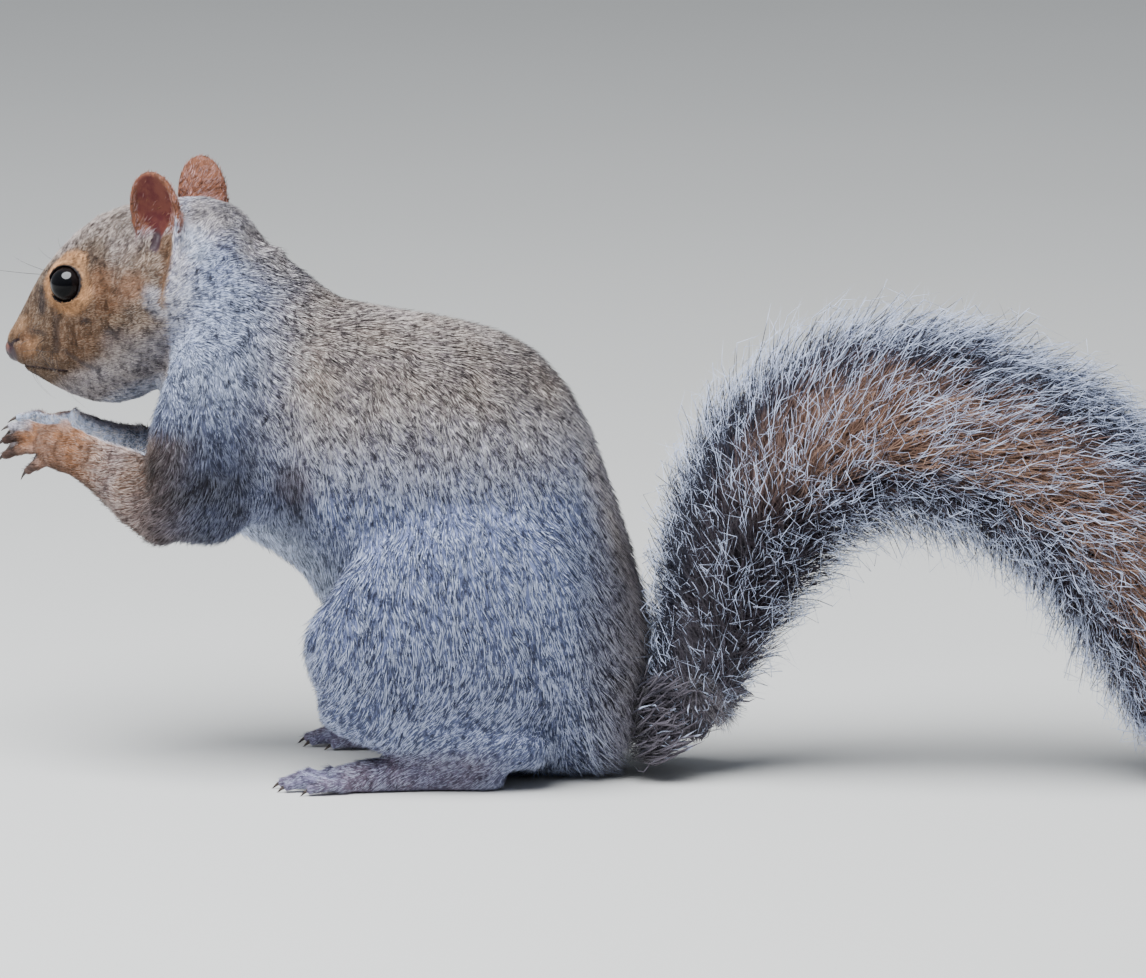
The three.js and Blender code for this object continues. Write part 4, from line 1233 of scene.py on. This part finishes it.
# %% [markdown]
# ## Where the brush meets the rump
# At its root the tail is wrapped in hair that points every way but forward. Without it the brush would end
# in a ring, and a gap would show between the tail and the rump. Most of these tufts fan out from the
# bone's first point, each as long as the solids allow in its own direction. The rest grow from the rump's
# lower edge and sweep back under the tail, so that the underside rises from the one to the other in a line.

# %% Close the base of the brush
BASE_TUFTS = 4_500
FAN_REACH = 26 * MM  # the longest of them
base, base_run = (value[0] for value in bone_at(np.array([0.0])))
toss = unit(rng.normal(size=(BASE_TUFTS, 3)))
toss = toss[(toss @ base_run < 0.35) & (toss[:, 1] > -0.75)]
count = len(toss)
reach = np.array([brush_side(base, way, 0.05) or 0.01 for way in toss])
reach = np.minimum(reach, FAN_REACH) * rng.uniform(0.7, 1.25, count)
reach *= 1 - 0.4 * ease(-toss[:, 2], 0.2, 0.85)  # shorter underneath
root = base + toss * np.minimum(reach, 5 * MM)[:, None] + base_run * (rng.uniform(0, 8, count) * MM)[:, None]
tip = base + toss * reach[:, None] + sway(toss * 0.02, 12 * MM, 5) * 3 * MM + np.array([0, 0, -2.0]) * MM
# Those that would be lost inside the rump grow from its lower edge instead and sweep back under the tail.
lost = toss[:, 1] < 0.15
edge = np.stack([toss[:, 0] * 14, rng.uniform(3, 9, count), rng.uniform(4, 24, count)], axis=1) * MM
root[lost] = edge[lost]
swept = np.stack([toss[:, 0] * 4, rng.uniform(6, 14, count), rng.uniform(-1, 11, count)], axis=1) * MM
swept += rng.normal(size=(count, 3)) * 1.8 * MM
tip[lost] = (root + swept)[lost]
curl = rng.normal(size=(count, 3)) * 1.2 * MM
path = [root, root * 0.5 + tip * 0.5 + curl, root * 0.2 + tip * 0.8 + curl, tip]
under_line = rng.uniform(3.5, 6, count) * MM  # the underside rises from the rump to the brush
for part in path:
    part[:, 2] = np.maximum(part[:, 2], under_line + 0.5 * np.clip(part[:, 1] - 9 * MM, 0, 40 * MM))
thick = rng.uniform(0.75, 1.3, count) * MM
side = unit(np.cross(unit(tip - root), toss + rng.normal(size=(count, 3)) * 0.5))
zone = zones_of(path, [np.zeros(count)] * len(path))
zone[..., 0] = np.clip(zone[..., 0], -0.6, 0.5)
guard = (rng.random(count) < 0.4).astype(float)
marks = np.stack([np.zeros(count), guard, np.ones(count)], axis=1)
widths = [0.5 * thick, 0.4 * thick]
base_hair = coat_piece("tail_base_hair", root, toss, path, widths, side, marks, np.ones(count), zone, flat=0.6)
tail_coats.append(base_hair)

# %% [markdown]
# ## Writing materials as sums
# A material is a web of nodes, and a web is hard to read. Here a socket is wrapped in a small class that
# knows Python's operators, so that a line such as `1 - mask * 0.5` adds the Math nodes it needs. Colours
# go through their own nodes, because a Math node would turn them grey.

# %% Sockets that can be added and multiplied
class Wire:
    """A socket of a material; sums and products of wires add Math nodes."""

    def __init__(self, finish, socket):
        self.finish, self.socket = finish, socket

    def _math(self, operation, *values):
        return self.finish.node("ShaderNodeMath", {"operation": operation}, dict(enumerate(values)))

    def __add__(self, other):
        return self._math("ADD", self, other)

    def __sub__(self, other):
        return self._math("SUBTRACT", self, other)

    def __rsub__(self, other):
        return self._math("SUBTRACT", other, self)

    def __mul__(self, other):
        return self._math("MULTIPLY", self, other)

    __radd__, __rmul__ = __add__, __mul__

    def between(self, low, high):
        """0 below low, 1 above high, smooth between."""
        smooth = {"interpolation_type": "SMOOTHSTEP"}
        return self.finish.node("ShaderNodeMapRange", smooth, {0: self, 1: low, 2: high})


class Finish:
    """A procedural material around one Principled shader."""

    def __init__(self, name, **constants):
        self.material = bpy.data.materials.new(name)
        self.material.use_nodes = True
        self.tree = self.material.node_tree
        self.shader = self.tree.nodes["Principled BSDF"]
        for socket, value in constants.items():
            self.shader.inputs[socket.replace("_", " ")].default_value = value

    def node(self, kind, settings=None, sockets=None, out=0):
        """Adds a node: its settings first, then the values or wires of its sockets."""
        made = self.tree.nodes.new(kind)
        for key, value in (settings or {}).items():
            setattr(made, key, value)
        for key, value in (sockets or {}).items():
            if isinstance(value, Wire):
                self.tree.links.new(value.socket, made.inputs[key])
            else:
                made.inputs[key].default_value = value
        return Wire(self, made.outputs[out])

    def note(self, name):
        """Three numbers that the mesh carries under one name."""
        read = self.node("ShaderNodeAttribute", {"attribute_name": name}, out="Vector")
        split = self.node("ShaderNodeSeparateXYZ", sockets={0: read})
        return [Wire(self, socket) for socket in split.socket.node.outputs]

    def noise(self, scale, detail=2.0, stretch=None):
        """Random clouds through the model, scale to a metre, drawn out along an axis if asked."""
        place = self.node("ShaderNodeTexCoord", out="Object")
        if stretch:
            place = self.node("ShaderNodeMapping", sockets={0: place, 3: stretch})
        return self.node("ShaderNodeTexNoise", sockets={"Vector": place, "Scale": scale, "Detail": detail})

    def mix(self, share, a, b):
        """From colour a to colour b."""
        return self.node("ShaderNodeMix", {"data_type": "RGBA"}, {"Factor": share, 6: a, 7: b}, out=2)

    def scaled(self, colour, amount):
        """A colour made darker or lighter."""
        colour = colour if isinstance(colour, Wire) else colour[:3]
        return self.node("ShaderNodeVectorMath", {"operation": "SCALE"}, {0: colour, 3: amount})

    def drive(self, socket, wire):
        self.tree.links.new(wire.socket, self.shader.inputs[socket])

    def bump(self, height, distance, strength=0.5):
        sockets = {"Strength": strength, "Distance": distance, "Height": height}
        self.drive("Normal", self.node("ShaderNodeBump", sockets=sockets))


def srgb(red, green, blue):
    """A colour as painters mix it, 0 to 255, as light."""
    linear = [((c / 255 + 0.055) / 1.055) ** 2.4 if c > 10 else c / 3295 for c in (red, green, blue)]
    return (*linear, 1.0)


# %% [markdown]
# ## The colour of the coat
# Up close every hair of a grey squirrel is banded: dark at the root, tinted in the middle, and white, buff or
# black at the tip. The eye blends them into grey. So the coat takes a tint from the markings, then each tuft
# is made lighter or darker by chance, and some get a white tip. This is what gives the pepper-and-salt look.
# Each tuft is also darker towards its root, for the dark base of the hairs and as painted shade deep in the
# coat.

# %% Tints shared by skin and coat
GREY, TAN, PALE = srgb(140, 152, 198), srgb(226, 200, 174), srgb(214, 225, 252)
RUST, DARK, BUFF = srgb(160, 104, 62), srgb(38, 34, 42), srgb(200, 150, 106)
# EAR_HOLLOW is the bare skin of the ear's cup, darkened as painted shade in the hollow; the lip colour is also
# painted shade in the nostrils and the ear canals.
EAR_BACK, EAR_HOLLOW, RIM, LIP_AND_HOLE_SHADE = srgb(150, 96, 72), srgb(84, 34, 36), srgb(22, 17, 20), srgb(58, 42, 48)
WHITE_TIP, BUFF_TIP, FACE = srgb(218, 228, 255), srgb(246, 230, 208), srgb(124, 95, 70)


def pelage(finish):
    """The tint of the coat from its markings, with how far it is grizzled with white."""
    tan, pale, rust = finish.note("marks")
    dark_and_shade, buff, rim = finish.note("more_marks")
    ear, hollow, lip_and_hole_shade = finish.note("bare_marks")
    cloud = finish.noise(90, 3)
    broken = cloud.between(0.3, 0.7)
    tint = finish.mix((tan * (broken * 0.3 + 0.8)), GREY, TAN)
    velvet = tan.between(0.58, 1.0)  # the short fur of the face, browner, with few white tips
    tint = finish.mix(velvet, tint, FACE)
    tint = finish.mix(rust * (broken * 0.4 + 0.6), tint, RUST)
    tint = finish.mix(dark_and_shade * (broken * 0.3 + 0.7), tint, DARK)
    tint = finish.mix(buff, tint, BUFF)
    tint = finish.mix(pale, tint, PALE)
    tint = finish.mix(ear, tint, EAR_BACK)
    grizzle = (1 - rust * 0.85) * (1 - dark_and_shade * 0.88) * (1 - buff * 0.9) * (1 - velvet * 0.7)
    return tint, grizzle, tan, velvet, (rim, hollow, lip_and_hole_shade)


# %% The finish of the short coat
def coat_finish(name):
    """The finish of the short coat."""
    finish = Finish(name, Specular_IOR_Level=0.2, Sheen_Weight=0.1, Sheen_Roughness=0.5)
    tint, grizzle, tan, velvet, _ = pelage(finish)
    along, chance, luck = finish.note("hair")
    strand, clump = finish.noise(2300, 1), finish.noise(300, 3)
    lock = finish.noise(1000, 1, stretch=(1.0, 0.8, 0.5))
    luck = luck + (strand - 0.5) * 0.7 + (clump - 0.5) * 1.2 + (lock - 0.5) * 1.4
    light = chance * 0.7 + 0.62 + (strand - 0.5) * 0.4
    light = light + (clump - 0.5) * (velvet * 0.8 + 1.4) + (lock - 0.5) * 1.5
    # darker towards the root: the dark base of each hair, and painted shade deep in the coat
    shade = finish.scaled(tint, light * (along.between(0.0, 0.7) * 0.6 + 0.4))
    tip = finish.mix(tan, WHITE_TIP, BUFF_TIP)
    white = luck.between(0.45, 0.6) * grizzle * along.between(0.1, 0.45)
    black = (1 - luck.between(0.26, 0.4)) * along.between(0.2, 0.55) * grizzle
    colour = finish.mix(white * 0.88, shade, tip)
    colour = finish.mix(black * 0.78, colour, DARK)
    finish.drive("Base Color", colour)
    finish.drive("Roughness", chance * 0.2 + 0.55)
    lie = finish.node("ShaderNodeAttribute", {"attribute_name": "lie"}, out="Vector")
    true = finish.node("ShaderNodeNewGeometry", out="Normal")
    both = finish.node("ShaderNodeVectorMath", {"operation": "ADD"}, {0: lie, 1: true})
    finish.drive("Normal", finish.node("ShaderNodeVectorMath", {"operation": "NORMALIZE"}, {0: both}))
    return finish.material


body_coat = coat_finish("short coat")
for piece in coats.values():
    piece.data.materials.append(body_coat)
print("short coat on", len(coats), "pieces")

# %% [markdown]
# ## The colour of the brush
# Hairs of the tail are banded more boldly than those of the body: brown, then black, then a long white tip.
# Over the bone the hairs are short and brown all the way, which gives the brush its brown heart.

# %% Tail hair
BROWN, BROWN_LIGHT = srgb(112, 80, 66), srgb(180, 144, 122)
BLACK, SILVER = srgb(30, 31, 48), srgb(214, 225, 255)
RUMP = srgb(104, 98, 108)  # the greyer hair that joins the brush to the rump
brush_finish = Finish("tail hair", Specular_IOR_Level=0.25, Sheen_Weight=0.1, Sheen_Roughness=0.5)
guard = brush_finish.note("marks")[1]
along, chance, luck = brush_finish.note("hair")
high, _, run = brush_finish.note("zone")
cloud = brush_finish.noise(110, 3)
high = high + (cloud - 0.5) * 0.6 + (chance - 0.5) * 0.3
brown = brush_finish.mix(chance, BROWN, BROWN_LIGHT)
core = high.between(-0.4, -0.02) * (1 - high.between(0.4, 0.7)) * run.between(0.2, 0.38)
dusk = brush_finish.mix(0.12, BLACK, BROWN)
dusk = brush_finish.mix((1 - run.between(0.0, 0.14)) * 0.75, dusk, RUMP)
colour = brush_finish.mix(core, dusk, brown)
belt = high.between(0.4, 0.7)
colour = brush_finish.mix(belt, colour, BLACK)
colour = brush_finish.scaled(colour, along.between(0.0, 0.5) * 0.4 + 0.6)
rare = 0.34 + core * 0.12 + belt * (1 - high.between(0.6, 0.72)) * 0.3 + (1 - run.between(0.1, 0.34)) * 0.34
rare = rare - (1 - high.between(-0.6, -0.25)) * run.between(0.25, 0.4) * 0.24
white = (luck - rare).between(-0.04, 0.04)
rising = (1 - run.between(0.15, 0.35)) * 0.2
white = white + (high - rising).between(0.66, 0.86) + (1 - high.between(-0.86, -0.7))
tips = (along + chance * 0.2 - high.between(0.6, 0.9) * 0.1).between(0.62, 0.74)
tips = tips * white.between(0.2, 0.8) * guard * run.between(-0.1, 0.05)
colour = brush_finish.mix(tips, colour, SILVER)
brush_finish.drive("Base Color", colour)
brush_finish.drive("Roughness", chance * 0.2 + 0.5)
for piece in tail_coats:
    piece.data.materials.append(brush_finish.material)
print("tail hair on", len(tail_coats), "pieces")

# %% [markdown]
# ## The finish of the skin
# Most of the skin is hidden, and takes the same markings a little darker, as painted shade under the hairs. It
# shows on the lids, the lips, the hollows of the ears and the tips of the digits. There it is bare, with a
# fine grain of folds in its bump, and a little shine where it is moist. The hollows of the ears are darkened
# further as painted shade in the cup, and the nostrils and the ear canals take the dark lip colour as painted
# shade in their openings.

# %% Skin
skin_finish = Finish("skin", Specular_IOR_Level=0.3)
tint, grizzle, tan, velvet, (rim, hollow, lip_and_hole_shade) = pelage(skin_finish)
grain = skin_finish.noise(1900, 4)
shade_and_bump_noise = skin_finish.noise(900, 3, stretch=(1.0, 1.0, 0.3))
# painted shade: the hidden skin is darker, as if shaded by the hair over it
colour = skin_finish.scaled(tint, shade_and_bump_noise.between(0.3, 0.7) * 0.45 + 0.42)
flush = skin_finish.noise(260, 3).between(0.35, 0.65)
# the bare skin of the ear's cup, darkened as painted shade in the hollow
colour = skin_finish.mix(hollow, colour, skin_finish.mix(flush * 0.25, EAR_HOLLOW, EAR_BACK))
# the dark lip colour, which is also painted shade in the nostrils and the ear canals
colour = skin_finish.mix(lip_and_hole_shade, colour, LIP_AND_HOLE_SHADE)
colour = skin_finish.mix(rim, colour, RIM)
skin_finish.drive("Base Color", colour)
skin_finish.drive("Roughness", 0.72 - rim * 0.1 - lip_and_hole_shade * 0.25 + grain * 0.1)
skin_finish.bump(grain * 0.5 + shade_and_bump_noise, 0.3 * MM, 0.6)
skin.data.materials.append(skin_finish.material)
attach(skin, "root")
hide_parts(*SKIN_OF)
print("skin stands for", len(SKIN_OF), "solids")

# %% [markdown]
# ## Eyes
# A squirrel's eye is a dark, wet ball, bulging far out of the head so that it sees all round. What makes it
# look alive is the clear front: a smooth cornea that stands a little proud and mirrors the sky. Its clear
# coat is thickest above, so that the pale floor is mirrored only faintly and the eye stays dark.

# %% A smooth ball
def ball_piece(name, centre, radius, shape=None, rings=40):
    """A smooth ball, its corners moved by a function of their direction."""
    once_round = np.linspace(0, 2 * math.pi, 2 * rings, endpoint=False)
    turn, rise = np.meshgrid(once_round, np.linspace(-1, 1, rings + 1)[1:-1])
    lean = rise * math.pi / 2
    way = np.stack([np.cos(lean) * np.cos(turn), np.cos(lean) * np.sin(turn), np.sin(lean)], axis=-1)
    way = np.concatenate([way.reshape(-1, 3), [[0, 0, -1], [0, 0, 1]]])
    points = way * radius if shape is None else shape(way)
    around, rows = 2 * rings, rings - 1
    a = (np.arange(rows - 1)[:, None] * around + np.arange(around)).ravel()
    b = (np.arange(rows - 1)[:, None] * around + (np.arange(around) + 1) % around).ravel()
    j = np.arange(around)
    k, top = (j + 1) % around, (rows - 1) * around
    low_cap = np.stack([np.full(around, rows * around), k, j], axis=1)
    high_cap = np.stack([top + j, top + k, np.full(around, rows * around + 1)], axis=1)
    lower, upper = np.stack([a, b, b + around], axis=1), np.stack([a, b + around, a + around], axis=1)
    return mesh_of(name, points + centre, np.concatenate([lower, upper, low_cap, high_cap]))


# %% The finish of a wet eye
eye_finish = Finish("wet eye", Roughness=0.2, Specular_IOR_Level=0.05, Coat_Roughness=0.03, Coat_IOR=1.45)
centre_note, haw, wet = eye_finish.note("front")
IRIS, PUPIL = srgb(20, 13, 12), srgb(4, 4, 6)
fibres = eye_finish.noise(1500, 3).between(0.35, 0.65)
iris = eye_finish.scaled(IRIS, fibres * 0.6 + 0.5)
iris = eye_finish.mix(centre_note.between(0.72, 0.8), iris, PUPIL)
eye_finish.drive("Base Color", eye_finish.mix(haw, iris, srgb(150, 152, 168)))
eye_finish.drive("Coat Weight", wet.between(-0.35, 0.25) * 0.88 + 0.12)

# %% Set the eyes
CORNEA = 0.05  # how far the front of the eye stands proud, as a share of its radius
for side, flip in (("left", 1), ("right", -1)):
    look = HEAD @ (LOOK * (flip, 1, 1))

    def bulging(way):
        front = np.clip(way @ look, 0, 1)
        return way * (EYE_RADIUS * (1 + CORNEA * ease(front, 0.55, 1.0)))[:, None]

    eye = ball_piece(f"eye_{side}_ball", EYES[side], EYE_RADIUS, bulging)
    shape, _ = shape_of(eye)
    gap = (shape - EYES[side]) / MM
    front = unit(gap) @ look
    corner_way, lid_way = HEAD @ (EYE_BACK * (flip, 1, 1)), HEAD @ (EYE_UP * (flip, 1, 1))
    haw = ease(gap @ corner_way, 4.1, 4.5) * (1 - ease(np.abs(gap @ lid_way - 0.3), 0.7, 1.5))
    note(eye, "front", np.stack([front, haw, unit(gap) @ lid_way], axis=1))
    eye.data.materials.append(eye_finish.material)
    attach(eye, "root")
    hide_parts(f"eye_{side}")
print("eyes of radius", round(EYE_RADIUS / MM, 2), "mm")

# %% [markdown]
# ## Nose
# The nose pad is the one bare, moist place of the muzzle. It is a small cushion, cleft down the middle, with
# a comma-shaped nostril on each side. A ball is pushed into that form by its directions.

# %% The form of the nose pad
nose_at = middle("nose")
NOSE_HALF = np.array([3.3, 3.0, 3.4])  # half sizes across, back and up, in mm


def nose_form(way):
    local = way @ HEAD
    across, back, up = np.abs(local[:, 0]), local[:, 1], local[:, 2]
    size = 1 - 0.16 * np.exp(-((across / 0.1) ** 2)) * ease(-back, 0.1, 0.6) * ease(-up, -0.3, 0.1)
    comma = np.hypot((across - 0.52) / 0.24, (up + 0.05 - (across - 0.5) * 0.7) / 0.13)
    size = size - 0.3 * np.exp(-(comma**2)) * ease(-back, 0.0, 0.3)
    size = size + 0.05 * ease(up, 0.2, 0.9)
    return (local * NOSE_HALF * MM * size[:, None]) @ HEAD.T


nose = ball_piece("nose_pad", nose_at + HEAD @ np.array([0, -0.6, -0.2]) * MM, 1, nose_form)
shape, _ = shape_of(nose)
upness = ((shape - nose_at) @ CROWN)[:, None] / (NOSE_HALF[2] * MM) * np.ones((1, 3))
note(nose, "front", upness)
print("nose pad at", in_head(nose_at).round(1), "mm on the head")

# %% The finish of the nose pad
nose_finish = Finish("nose pad", Specular_IOR_Level=0.5)
in_place = nose_finish.node("ShaderNodeTexCoord", out="Object")
pebbles = nose_finish.node("ShaderNodeTexVoronoi", {"feature": "F1"}, {"Vector": in_place, "Scale": 3200.0})
patch = nose_finish.noise(500, 3).between(0.35, 0.65)
dusky = nose_finish.mix(patch, srgb(48, 34, 42), srgb(78, 54, 58))
high = (nose_finish.note("front")[0] + patch * 0.3).between(0.25, 0.95)
nose_finish.drive("Base Color", nose_finish.mix(high, dusky, srgb(128, 88, 78)))
nose_finish.drive("Roughness", pebbles * 0.2 + 0.3)
nose_finish.bump(pebbles, 0.12 * MM, 0.5)
nose.data.materials.append(nose_finish.material)
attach(nose, "root")
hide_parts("nose")

# %% [markdown]
# ## Claws
# Each claw is a curved cone of dark horn, deeper than it is wide, that leaves the digit from inside the skin
# and turns down to a sharp point. All eighteen are one mesh.

# %% Curve a claw on every digit
CLAW_LENGTH, CLAW_DROP, CLAW_HALF = 3.0, 1.5, 0.66  # mm
CLAW_ROOT = 0.9  # how far inside the skin it starts, in mm
claw_points, claw_faces, count = [], [], 0
ROUND, STEPS = 10, 9
turn = np.linspace(0, 2 * math.pi, ROUND, endpoint=False)
for knuckle, tip, way in digits:
    side = unit(np.cross(way, [0, 0, 1]))
    up = np.cross(side, way)
    t = np.linspace(0, 1, STEPS)
    line = tip + way * MM * ((t * (CLAW_LENGTH + CLAW_ROOT) - CLAW_ROOT)[:, None])
    line = line + up * MM * (0.25 - CLAW_DROP * t**2)[:, None]
    half = CLAW_HALF * MM * (1 - t) ** 0.75 + 0.05 * MM
    ring = side * np.cos(turn)[:, None] * 0.72 + up * np.sin(turn)[:, None]
    points = (line[:, None] + ring * half[:, None, None]).reshape(-1, 3)
    points = np.concatenate([points, line[[0, -1]]])
    points[:, 2] = np.maximum(points[:, 2], 0.1 * MM)
    cells = []
    for i in range(STEPS - 1):
        for j in range(ROUND):
            a, b = i * ROUND + j, i * ROUND + (j + 1) % ROUND
            cells += [(a, b + ROUND, b), (a, a + ROUND, b + ROUND)]
    for j in range(ROUND):
        k, last = (j + 1) % ROUND, (STEPS - 1) * ROUND
        cells += [(STEPS * ROUND, j, k), (STEPS * ROUND + 1, last + k, last + j)]
    claw_points.append(points)
    claw_faces.append(np.array(cells) + count)
    count += len(points)
claws = mesh_of("claws", np.concatenate(claw_points), np.concatenate(claw_faces))
print("claws", len(digits))

# %% The finish of horn
horn = Finish("horn", Specular_IOR_Level=0.5)
streak = horn.noise(2600, 3, stretch=(1.0, 0.25, 1.0)).between(0.3, 0.7)
horn.drive("Base Color", horn.mix(streak, srgb(34, 28, 28), srgb(84, 70, 62)))
horn.drive("Roughness", 0.3 + streak * 0.2)
horn.bump(streak, 0.05 * MM, 0.4)
claws.data.materials.append(horn.material)
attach(claws, "root")

# %% [markdown]
# ## Whiskers
# Whiskers are stiff black hairs, in rows on the upper lip and a few over the eye. They stand straight out
# before they bend back, so each is a long sliver, like a tuft but thinner and with more rings. Two shorter
# ones stand up from each brow, and one grows on each cheek.

# %% Roots of the whiskers
lip_hairs = []
for row in range(4):
    for number in range(5):
        at = (6.4 - row * 0.3, -24.5 + number * 2.3, -8.2 - row * 1.7)
        lip_hairs.append((at, 1.0 + number * 0.1, row))
# place on the head in mm, share of a full length, way it points
single_hairs = [
    ((8.6, -8, 6.5), 0.8, (0.55, -0.75, 0.55)),
    ((9.4, -6.4, 7.2), 0.6, (0.6, -0.55, 0.7)),
    ((14.5, 12, -10), 0.4, (1, 0.3, -0.3)),
]
starts, ways, lengths = [], [], []
for at, size, row in lip_hairs + single_hairs:
    for flip in (1, -1):
        starts.append(on_head(at[0] * flip, at[1], at[2]))
        way = row
        if not isinstance(row, tuple):
            way = (1.0, 0.25 + 0.12 * rng.normal(), 0.1 - 0.16 * row + 0.08 * rng.normal())
        ways.append(HEAD @ (unit(np.array(way)) * (flip, 1, 1)))
        lengths.append(size * rng.uniform(24, 34) * MM)
starts, ways, lengths = np.array(starts), np.array(ways), np.array(lengths)[:, None]
skin_tree = BVHTree.FromPolygons(SKIN_POINTS.tolist(), SKIN_FACES.tolist())
for i, (start, way) in enumerate(zip(starts, ways)):
    hit = skin_tree.ray_cast(Vector(start + way * 12 * MM), Vector(-way), 30 * MM)
    if hit[0] is not None:
        starts[i] = np.array(hit[0]) - way * 0.3 * MM
print("whiskers", len(starts))

# %% Grow the whiskers
WIDEST = 52 * MM  # the longest are kept about this near to the middle, within the model's width
sweep = (BACK * 0.32 - np.array([0, 0, 0.12]))[None]  # how the tips trail back and sag
tips_at = np.abs(starts + (ways + sweep) * lengths)[:, :1]
lengths *= np.minimum(1, WIDEST / tips_at)
path = [starts + (ways * t + sweep * t * t) * lengths for t in np.linspace(0, 1, 9)]
side = unit(np.cross(ways, BACK))
widths = [np.full(len(starts), w * MM) for w in np.linspace(0.17, 0.05, 7)]
hair_points, hair_faces = slivers(path, widths, side, 0.5)
whiskers = mesh_of("whiskers", hair_points.reshape(-1, 3), hair_faces)
whisker_finish = Finish("whisker", Specular_IOR_Level=0.4)
shine = whisker_finish.noise(400, 2)
whisker_finish.drive("Base Color", whisker_finish.mix(shine, srgb(24, 20, 22), srgb(58, 50, 50)))
whisker_finish.drive("Roughness", 0.35 + shine * 0.2)
whiskers.data.materials.append(whisker_finish.material)
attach(whiskers, "root")

# %% [markdown]
# ## Camera
# The camera stands a little above the animal's back and a few metres away, with a long lens. A long lens
# flattens the view, so the head at one end and the tail at the other keep their true sizes.

# %% Camera
TARGET = np.array([0, -0.01267, 0.07983])  # the point in the middle of the view
AZIMUTH, ELEVATION, DISTANCE = math.radians(95), math.radians(10), 3.0
VIEW_WIDTH = 0.31833  # metres seen from side to side at the target
SENSOR = 36  # mm across
level_way = np.array([math.sin(AZIMUTH), -math.cos(AZIMUTH), 0])
toward = level_way * math.cos(ELEVATION) + np.array([0, 0, math.sin(ELEVATION)])
camera_data = bpy.data.cameras.new("camera")
camera_data.sensor_width = SENSOR
camera_data.lens = SENSOR * DISTANCE / VIEW_WIDTH
camera = bpy.data.objects.new("camera", camera_data)
bpy.context.scene.collection.objects.link(camera)
camera.location = TARGET + toward * DISTANCE
camera.rotation_euler = Vector(toward).to_track_quat("Z", "Y").to_euler()
bpy.context.scene.camera = camera
print("camera at", (TARGET + toward * DISTANCE).round(2), "lens", round(camera_data.lens))

# %% [markdown]
# ## Floor and light
# The model stands on a plain pale floor, under a large soft light like an overcast sky. The room itself
# glows a little, which fills the shadows. Soft light suits fur: hard light would glitter on every tuft.

# %% Floor
bpy.ops.mesh.primitive_plane_add(size=6)
floor = bpy.context.object
floor.name = "floor"
floor_finish = Finish("floor", Roughness=0.85)
dust = floor_finish.noise(3, 4)
floor_finish.drive("Base Color", floor_finish.mix(dust, srgb(214, 213, 209), srgb(222, 221, 218)))
floor.data.materials.append(floor_finish.material)

# %% Lights
AIM = Vector((0, 0, 0.08))  # the middle of the model


def soft_light(name, at, size, power, colour):
    """A round lamp that faces the model."""
    light = bpy.data.lights.new(name, "AREA")
    light.shape, light.size, light.energy, light.color = "DISK", size, power, colour
    obj = bpy.data.objects.new(name, light)
    bpy.context.scene.collection.objects.link(obj)
    obj.location = at
    obj.rotation_euler = (Vector(at) - AIM).to_track_quat("Z", "Y").to_euler()


soft_light("sky", (0.52, -0.3, 1.35), 1.35, 60, (0.94, 0.97, 1.0))
world = bpy.data.worlds.new("room")
bpy.context.scene.world = world
world.use_nodes = True
glow = world.node_tree.nodes["Background"]
glow.inputs["Color"].default_value = (0.82, 0.89, 1.0, 1)
glow.inputs["Strength"].default_value = 0.25
